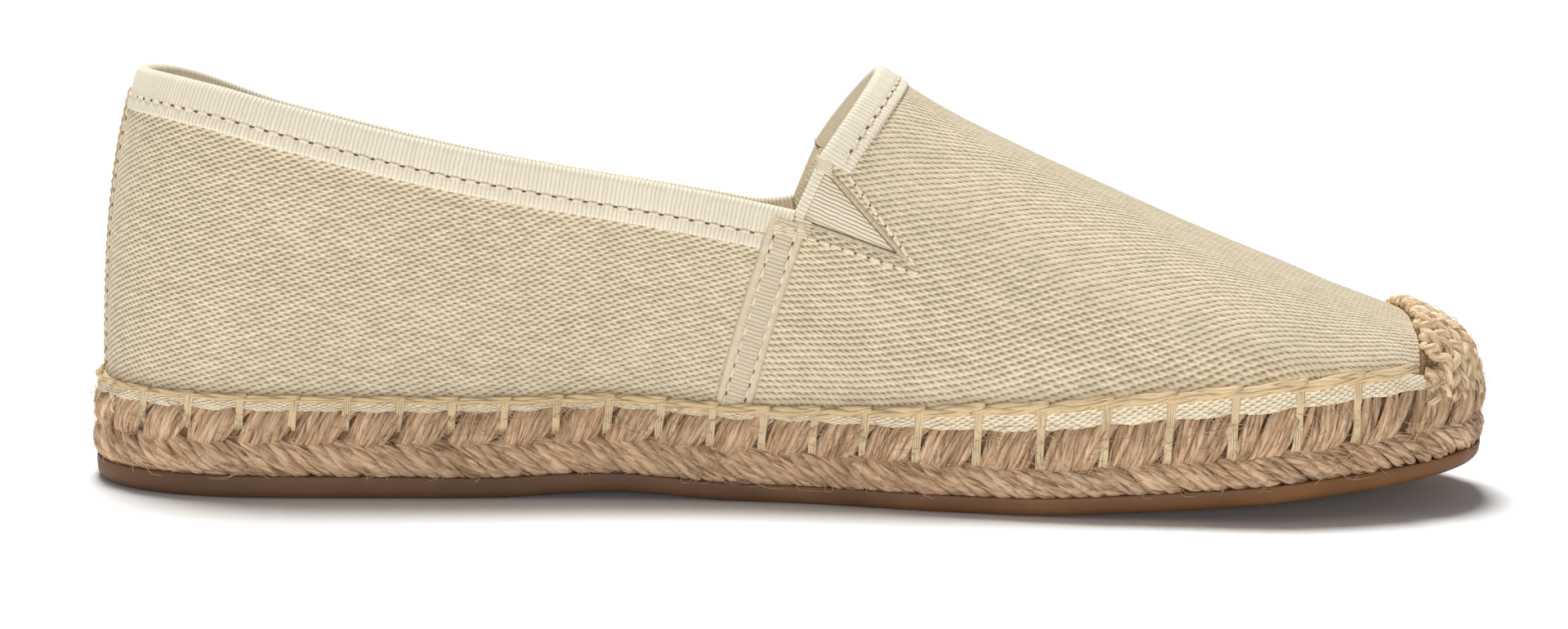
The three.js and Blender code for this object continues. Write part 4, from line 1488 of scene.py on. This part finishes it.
class ESPADRILLE_OT_jute(bpy.types.Operator):
    """Builds the two herringbone rows of jute yarn, the dark core of painted shade behind them and loose
    fibres
    """

    bl_idname = "espadrille.jute"
    bl_label = "Jute sole"

    def core(self):
        """A dark plate behind the yarns that paints the shade between them, dented where each row is
        fullest.
        """
        loop = both_sides(side_turns(150))
        proud = sole_proud(station(loop)[0])

        def ring(share, inside, up):
            return spine_ring(loop, share, proud - inside, lambda x: (
                rubber_top_z(x) + 0.3 + (jute_thickness(x) - 0.4) * up))

        outer = np.array([
            ring(share, 2.2 - 0.9 * abs(math.sin(2 * math.pi * up)), up)
            for share, up in (
                (0, 0.03), (0.6, 0.03), (1, 0.03), (1, 0.25), (1, 0.5), (1, 0.75), (1, 0.95))])
        inner = np.array([ring(share, ROW_INSIDE, 0.96) for share in np.linspace(0, 1, len(outer))])
        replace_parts(plate_object("jute_shade_core", outer, inner, finish_of("core"), "jute"), "jute_sole")

    def yarns(self, thickness, per_bunch, run, squeeze, low, high, rising, seed):
        """Yarns from groove to edge: each leans by run mm, and those of a bunch draw together
        at the groove."""
        rng = np.random.default_rng(SEED + seed)
        count = STITCHES * per_bunch
        phase = (np.arange(count) + 0.5) / per_bunch
        local = phase - np.floor(phase) - 0.5
        phase = phase + rng.uniform(-0.16, 0.16, count) / per_bunch
        t = np.linspace(0, 1, 9)[None, :]
        from_groove = t if rising else 1 - t
        drawn = local[:, None] * squeeze * (1 - from_groove)
        lean = run * (1 + rng.uniform(-0.16, 0.16, (count, 1)))
        s = length_at(phase[:, None] - drawn) + lean * (t - 0.5)
        sweep = 0.96 * 2 * np.pi * (0.52 if rising else -0.5)
        angle = (t - 0.5) * sweep
        lobe = (1.15 * (1 - (2 * local[:, None]) ** 2) - 0.75) * (1.0 if rising else 0.35)
        uneven = rng.uniform(-0.45, 0.35, (count, 1))
        radius = thickness * sole_settings().yarn / MM * (1 + rng.uniform(-0.16, 0.24, (count, 1)))
        out = sole_proud(station(turn_at(s))[0]) - ROW_INSIDE + (lobe + uneven) * np.cos(angle)
        paths = row_point(s, angle, low, high, out)
        thick = radius * (0.86 + 0.22 * np.sin(np.pi * t))
        return closed_tubes(paths, outward(paths), thick * 1.12, thick * 0.95, 6, twist=1.5)

    def hairs(self):
        """Fine fibres: short curves that leave the jute's face and fall back along it."""
        rng = np.random.default_rng(SEED + 9)
        count = sole_settings().hairs
        s = rng.uniform(0, LOOP, count)[:, None]
        up = rng.uniform(0.02, 1.0, count)[:, None]
        t = np.linspace(0, 1, 6)[None, :]
        length = rng.gamma(2.2, 1.5, (count, 1)) + 1.0
        angle = rng.uniform(-np.pi, np.pi, (count, 1)) + 1.6 * rng.uniform(-1, 1, (count, 1)) * t
        stand = rng.gamma(1.6, 0.22, (count, 1)) * np.sin(np.pi * t * rng.uniform(0.35, 1, (count, 1)))
        s = s + np.cos(angle) * length * t
        rise = np.sin(angle) * length * t * 0.7
        bulge = 0.9 * np.abs(np.sin(2 * np.pi * up))
        points = loop_edge(s, sole_proud(station(turn_at(s))[0]) - 0.75 + bulge + stand)
        low, high = rubber_top_z(points[..., 0]), feather_z(points[..., 0])
        points[..., 2] = np.clip(low + (high - low) * up + rise, low - 0.6, high + 0.8)
        tube = closed_tubes(points, outward(points), 0.065, 0.05, 3)
        tube_object("jute_fibres", [tube], finish_of("fibre"), "jute")

    def execute(self, context):
        self.core()
        per = sole_settings().upper_yarns
        upper = self.yarns(1.0, per, 6.2, 0.34, lambda x: v_line(x) - 0.2,
                           lambda x: feather_z(x) + 0.1, True, 1)
        lower = self.yarns(1.3, per - 2, 9.0, 0.10, lambda x: rubber_top_z(x) + 0.2,
                           lambda x: v_line(x) + 0.5, False, 2)
        tube_object("jute_upper_row", [upper], finish_of("jute"), "jute")
        tube_object("jute_lower_row", [lower], finish_of("jute"), "jute")
        self.hairs()
        return {"FINISHED"}


STRANDS = 3


class ESPADRILLE_OT_blanket(bpy.types.Operator):
    """Builds the blanket stitch: overlapping level threads and upright ones over the jute"""

    bl_idname = "espadrille.blanket"
    bl_label = "Blanket stitch"

    def level_threads(self, rng, at, radius):
        """Each a loose rope of strands that winds by more than half a turn from one upright to
        past the next, opening in the middle, rising and coming forward as it goes."""
        t = np.linspace(0, 1, 14)[None, :]
        arch = np.sin(np.pi * t)
        ahead = length_at(phase_at(at) + 1)
        first = rng.uniform(0, 2 * np.pi, (len(at), 1))
        turns = rng.uniform(0.55, 0.85, (len(at), 1))
        parts = []
        for strand in range(STRANDS):
            s = at[:, None] - 1.5 + (ahead - at + 2.8)[:, None] * t
            size = 0.68 + 0.32 * smoothstep(-75, -5, station(turn_at(s))[0])
            wound = first + 2 * np.pi * (turns * t + strand / STRANDS)
            spread = 0.18 + 0.40 * arch**0.7
            out = 1.15 + 0.25 * arch + 0.8 * (t - 0.5) + 0.75 * spread * np.sin(wound)
            points = loop_edge(s, out, feather_z)
            level = 1.05 - 0.35 * size + 1.5 * size * (t - 0.5) + 0.12 * np.sin(2 * np.pi * t)
            points[..., 2] += strip_height(points[..., 0]) + level + spread * size * np.cos(wound)
            taper = radius * size * (0.75 + 0.35 * arch**0.7)
            parts.append(closed_tubes(points, outward(points), 1.35 * taper, 1.3 * taper, 8))
        tube_object("blanket_level_threads", parts, finish_of("blanket"), "thread")

    def upright_threads(self, rng, at, radius):
        """Strands side by side from the level threads down over the strip and the jute's upper
        row, which they follow, diving in above the groove near the heel."""
        t = np.linspace(0, 1, 14)[None, :]
        arch = np.sin(np.pi * t)
        parts = []
        for strand in range(STRANDS):
            lean = 0.7 + rng.uniform(-0.35, 0.35, (len(at), 1))
            s = at[:, None] + lean * (0.5 - t) + (strand - 1) * 0.50 * (1 - 0.2 * arch)
            x = station(turn_at(s))[0]
            feather, groove = feather_z(x), v_line(x)
            top = feather + strip_height(x) + 0.9
            foot = groove + 0.2 + 2.4 * (1 - smoothstep(-75, 5, x))
            z = top + (foot - top) * t
            up = np.clip((z - groove) / np.maximum(feather - groove, 1), 0, 1)
            over_jute = sole_proud(x) - 0.45 - 1.35 * (1 - np.sin(np.pi * up)) ** 1.3
            over_jute = over_jute - 1.5 * smoothstep(0.72, 1.0, t) * smoothstep(5, -40, x)
            over_strip = 1.55 + 0.2 * arch - 0.35 * smoothstep(0, 3.0, z - feather)
            over_jute = np.maximum(over_jute, 1.55 * smoothstep(0.5, 1.0, up))
            out = np.where(z > feather, over_strip, over_jute)
            padded = np.pad(out, ((0, 0), (1, 1)), mode="edge")
            points = loop_edge(s, (padded[:, :-2] + padded[:, 2:]) / 4 + out / 2)
            points[..., 2] = z
            parts.append(closed_tubes(points, outward(points), radius * 0.86, radius * 0.7, 8))
        tube_object("blanket_upright_threads", parts, finish_of("upright"), "thread")

    def execute(self, context):
        rng = np.random.default_rng(SEED + 3)
        radius = sole_settings().thread / MM
        at = length_at(np.arange(STITCHES))
        behind = station(turn_at(at))[0] < 0
        at = at[uncovered(at) & uncovered(length_at(phase_at(at) + 1)) | behind]
        self.level_threads(rng, at, radius)
        self.upright_threads(rng, at, radius)
        return {"FINISHED"}


# The toe cover's cords are CORD_PITCH apart, each two plies that wind once in CORD_TWIST. At the
# feather line the cover reaches COVER_BEHIND behind its back edge's top.
CORD_PITCH = 3.1
CORD_TWIST = 6.4
PLY_RADIUS = 0.98
COVER_FIBRES = 420
COVER_BEHIND = 2.1


class ESPADRILLE_OT_toe_cover(bpy.types.Operator):
    """Builds the knitted jute toe cover: twisted cords that run down to the sole, over a dark ground of
    painted shade
    """

    bl_idname = "espadrille.toe_cover"
    bl_label = "Toe cover"

    def twisted(self, centre, normals, radius, pitch, hand, phase):
        """Two plies wound round a centre line."""
        length = np.concatenate([
            np.zeros((len(centre), 1)),
            np.cumsum(np.linalg.norm(np.diff(centre, axis=1), axis=2), 1)], 1)
        tangent = unit(np.gradient(centre, axis=1))
        across = unit(np.cross(normals, tangent))
        plies = []
        for ply in (0, np.pi):
            angle = hand[:, None] * 2 * np.pi * length / pitch + ply + phase[:, None]
            path = (centre + across * (np.cos(angle) * radius * 0.9)[..., None]
                    + normals * (np.sin(angle) * radius * 0.8)[..., None])
            plies.append(closed_tubes(path, normals, radius * 0.92, radius * 0.86, 8))
        return plies

    def edge_rise(self, turn):
        """Where each column passes under the cover's back edge."""
        rises = np.linspace(0, 0.999, 500)
        points = form(turn[:, None], rises[None, :])
        slant = COVER_SLANT * np.maximum(COVER_SLANT_BELOW - points[..., 2], 0)
        behind = points[..., 0] < COVER_FROM - slant
        first = np.where(behind.any(1), behind.argmax(1), len(rises) - 1)
        return rises[first]

    def ground(self, low, high):
        """A dark sheet that the cords lie on, painted shade between them, a little flared at the foot.
        """
        s = np.linspace(low, high, 240)
        turn = turn_at(s)[None, :]
        share = np.linspace(0, 1, 26)[:, None]
        rise = share * self.edge_rise(turn[0])
        turn = np.broadcast_to(turn, rise.shape)
        points, normal = form(turn, rise), shell_normal(turn, rise)
        flare = 0.9 * (1 - share) ** 3
        uv = np.stack([np.broadcast_to(s, rise.shape), points[..., 2]], -1)
        outer, inner = points + normal * (0.75 + flare)[..., None], points + normal * 0.05
        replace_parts(slab_object("toe_cover_shade_ground", outer, inner, uv, finish_of("knit_ground"),
                                "knitted_jute"), "toe_cover")

    def cords(self, low, high, rng):
        """Cords twisted left and right in turn, from the back edge down over the jute."""
        count = int((high - low) / CORD_PITCH)
        turn = turn_at(np.linspace(low + 1.2, high - 1.2, count))
        t = np.linspace(0, 1, 30)[None, :]
        rise = np.minimum(self.edge_rise(turn), 0.955)[:, None] * (1 - t) ** 0.9
        turn = turn[:, None] + 0.05 * np.sin(np.pi * t) * np.sign(np.pi - turn)[:, None]
        centre, normals = form(turn, rise), shell_normal(turn, rise)
        skirt = smoothstep(0.7, 1.0, t)[..., None]
        centre = centre + normals * 1.3 + (outward(centre) - np.array([0, 0, 3.2])) * skirt
        hand = np.where(np.arange(count) % 2 == 0, 1.0, -1.0)
        phase = rng.uniform(-0.4, 0.4, count)
        plies = self.twisted(centre, normals, PLY_RADIUS, CORD_TWIST, hand, phase)
        tube_object("toe_cover_cords", plies, finish_of("knit"), "knitted_jute")

    def fibres(self, low, high, rng):
        """Short loose fibres that stand off the cords."""
        each = (COVER_FIBRES, 1)
        t = np.linspace(0, 1, 6)[None, :]
        turn = turn_at(rng.uniform(low, high, each))
        limit = self.edge_rise(turn[:, 0])[:, None]
        rise = np.clip(limit * rng.uniform(0, 1, each) + 0.12 * t * rng.uniform(-1, 1, each), 0, 0.86)
        turn = turn + 0.06 * t * rng.uniform(-1, 1, each)
        normals = shell_normal(turn, rise)
        stand = 1.9 + rng.gamma(1.6, 0.28, each) * np.sin(np.pi * t * rng.uniform(0.4, 1, each))
        hairs = form(turn, rise) + normals * stand[..., None]
        kept = hairs[..., 0].min(1) > COVER_FROM - 1
        tubes = closed_tubes(hairs[kept], normals[kept], 0.05, 0.05, 3)
        tube_object("toe_cover_fibres", [tubes], finish_of("fibre"), "knitted_jute")

    def execute(self, context):
        rng = np.random.default_rng(SEED + 7)
        low, high = loop_lengths_at(COVER_FROM - COVER_BEHIND)
        self.ground(low, high)
        self.cords(low, high, rng)
        self.fibres(low, high, rng)
        return {"FINISHED"}


# The radius of the outsole's rolled lower edge.
ROLL = 1.8


class ESPADRILLE_OT_outsole(bpy.types.Operator):
    """Builds the gum rubber outsole: a rolled lower edge and shallow cross grooves below"""

    bl_idname = "espadrille.outsole"
    bl_label = "Outsole"

    def grooves(self, x, share):
        """The depth of the cross grooves, under heel and ball and clear of the edge."""
        wave = 0.5 - 0.5 * np.cos(2 * np.pi * x / 5.0)
        heel = smoothstep(-97, -91, x) * (1 - smoothstep(-62, -56, x))
        ball = smoothstep(-2, 4, x) * (1 - smoothstep(79, 85, x))
        return 0.55 * wave**3 * (heel + ball) * (1 - smoothstep(0.86, 0.9, share))

    def execute(self, context):
        loop = both_sides(side_turns(300))
        proud = sole_proud(station(loop)[0]) - 0.3
        rows = [
            spine_ring(loop, share, proud - ROLL, lambda x, s=share: ground_z(x) + self.grooves(x, s))
            for share in (*np.linspace(0, 0.85, 18), 0.88, 0.92, 0.95)]
        rows += [
            spine_ring(loop, 1.0, proud - ROLL + ROLL * math.sin(angle),
                       lambda x, a=angle: ground_z(x) + ROLL * (1 - math.cos(a)))
            for angle in np.radians(np.linspace(0, 90, 7))]
        rows += [
            spine_ring(loop, 1.0, proud + 0.12 * math.sin(math.pi * up),
                       lambda x, u=up: lerp(ground_z(x) + 1.2, rubber_top_z(x), u))
            for up in (0.6, 0.75, 0.9, 0.97)]
        rows.append(spine_ring(loop, 1.0, proud - 0.35, rubber_top_z))
        inner = np.array([spine_ring(loop, share, proud - 0.5, rubber_top_z)
                          for share in np.linspace(0, 1, len(rows))])
        sole = plate_object("gum_outsole", np.array(rows), inner, finish_of("rubber"), "rubber")
        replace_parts(sole, "outsole")
        return {"FINISHED"}


# Where the camera stands along the shoe, how far it looks down and how it is rolled.
CAMERA_X = -0.0006
CAMERA_DOWN = math.radians(6.92)
CAMERA_ROLL = 0.0110


class ESPADRILLE_OT_stage(bpy.types.Operator):
    """Builds the pale floor that curves up behind, the camera and the soft studio lights"""

    bl_idname = "espadrille.stage"
    bl_label = "Stage"

    def floor(self):
        """A floor, a quarter circle and a wall, as one profile carried along x."""
        turn = np.linspace(0, np.pi / 2, 24)
        y = np.concatenate([np.linspace(-8, 8.0, 24), 8.0 + 2.0 * np.sin(turn[1:]), [10.0]])
        z = np.concatenate([np.zeros(24), 2.0 - 2.0 * np.cos(turn[1:]), [8.0]])
        x = np.linspace(-9, 9, 30)
        grid = np.stack(np.broadcast_arrays(x[None, :], y[:, None], z[:, None]), -1)
        mesh = bpy.data.meshes.new("studio_floor")
        mesh.from_pydata(grid.reshape(-1, 3).tolist(), [], grid_quads(len(y), len(x)).tolist())
        mesh.polygons.foreach_set("use_smooth", np.ones(len(mesh.polygons), bool))
        g = Graph("studio_paper", 0.9, "Object")
        cloud = g.noise(g.coordinates, 3.0, 3)
        g.finish(g.ramp(cloud, (0.3, (0.93, 0.93, 0.93)), (0.7, (0.95, 0.95, 0.95))), cloud, 0.05)
        mesh.materials.append(g.material)
        floor = bpy.data.objects.new("studio_floor", mesh)
        bpy.context.scene.collection.objects.link(floor)

    def lamp(self, name, kind, place, **settings):
        """A light at a place, turned towards the shoe."""
        light = bpy.data.lights.new(name, kind)
        for key, value in settings.items():
            setattr(light, key, value)
        lamp = bpy.data.objects.new(name, light)
        lamp.location = place
        aim = mathutils.Vector((0, 0, 0.03)) - mathutils.Vector(place)
        lamp.rotation_euler = aim.to_track_quat("-Z", "Y").to_euler()
        bpy.context.scene.collection.objects.link(lamp)

    def execute(self, context):
        stage = context.scene.espadrille_stage
        self.floor()
        world = bpy.data.worlds.new("studio")
        world.use_nodes = True
        background = world.node_tree.nodes["Background"]
        background.inputs["Color"].default_value = (1, 1, 1, 1)
        background.inputs["Strength"].default_value = stage.sky
        context.scene.world = world
        self.lamp("key", "SUN", (-0.2, 0.72, 2.0), energy=stage.key, angle=stage.softness)
        self.lamp("fill", "AREA", (-0.3, -2.2, 0.28), energy=stage.fill, shape="RECTANGLE",
                  size=2.4, size_y=0.5)
        camera = bpy.data.cameras.new("camera")
        camera.sensor_fit, camera.sensor_width, camera.lens = "HORIZONTAL", 36.0, stage.lens
        eye = bpy.data.objects.new("camera", camera)
        eye.location = (CAMERA_X, -stage.distance, stage.height)
        down = mathutils.Matrix.Rotation(math.radians(90) - CAMERA_DOWN, 4, "X")
        roll = mathutils.Matrix.Rotation(CAMERA_ROLL, 4, "Z")
        eye.rotation_euler = (down @ roll).to_euler()
        context.scene.collection.objects.link(eye)
        context.scene.camera = eye
        context.scene.view_settings.view_transform = "Standard"
        return {"FINISHED"}


OPERATORS = (
    ESPADRILLE_OT_stage,
    ESPADRILLE_OT_upper,
    ESPADRILLE_OT_sock,
    ESPADRILLE_OT_bindings,
    ESPADRILLE_OT_gores,
    ESPADRILLE_OT_tapes,
    ESPADRILLE_OT_edge_strip,
    ESPADRILLE_OT_outsole,
    ESPADRILLE_OT_jute,
    ESPADRILLE_OT_blanket,
    ESPADRILLE_OT_toe_cover,
)


class ESPADRILLE_PT_panel(bpy.types.Panel):
    """Lists the pieces of the shoe and their settings"""

    bl_label = "Espadrille"
    bl_idname = "ESPADRILLE_PT_panel"
    bl_space_type = "VIEW_3D"
    bl_region_type = "UI"
    bl_category = "Espadrille"

    def draw(self, context):
        for group in ("espadrille_upper", "espadrille_sole", "espadrille_stage"):
            settings = getattr(context.scene, group)
            for name in settings.__annotations__:
                self.layout.prop(settings, name)
        for operator in OPERATORS:
            self.layout.operator(operator.bl_idname)


GROUPS = {
    "espadrille_upper": EspadrilleUpper,
    "espadrille_sole": EspadrilleSole,
    "espadrille_stage": EspadrilleStage,
}
CLASSES = (*GROUPS.values(), *OPERATORS, ESPADRILLE_PT_panel)


def register():
    for cls in CLASSES:
        bpy.utils.register_class(cls)
    for name, group in GROUPS.items():
        setattr(bpy.types.Scene, name, bpy.props.PointerProperty(type=group))


def unregister():
    for name in GROUPS:
        delattr(bpy.types.Scene, name)
    for cls in reversed(CLASSES):
        bpy.utils.unregister_class(cls)


def main():
    register()
    for operator in OPERATORS:
        getattr(bpy.ops.espadrille, operator.bl_idname.split(".")[1])()


if __name__ == "__main__":
    main()
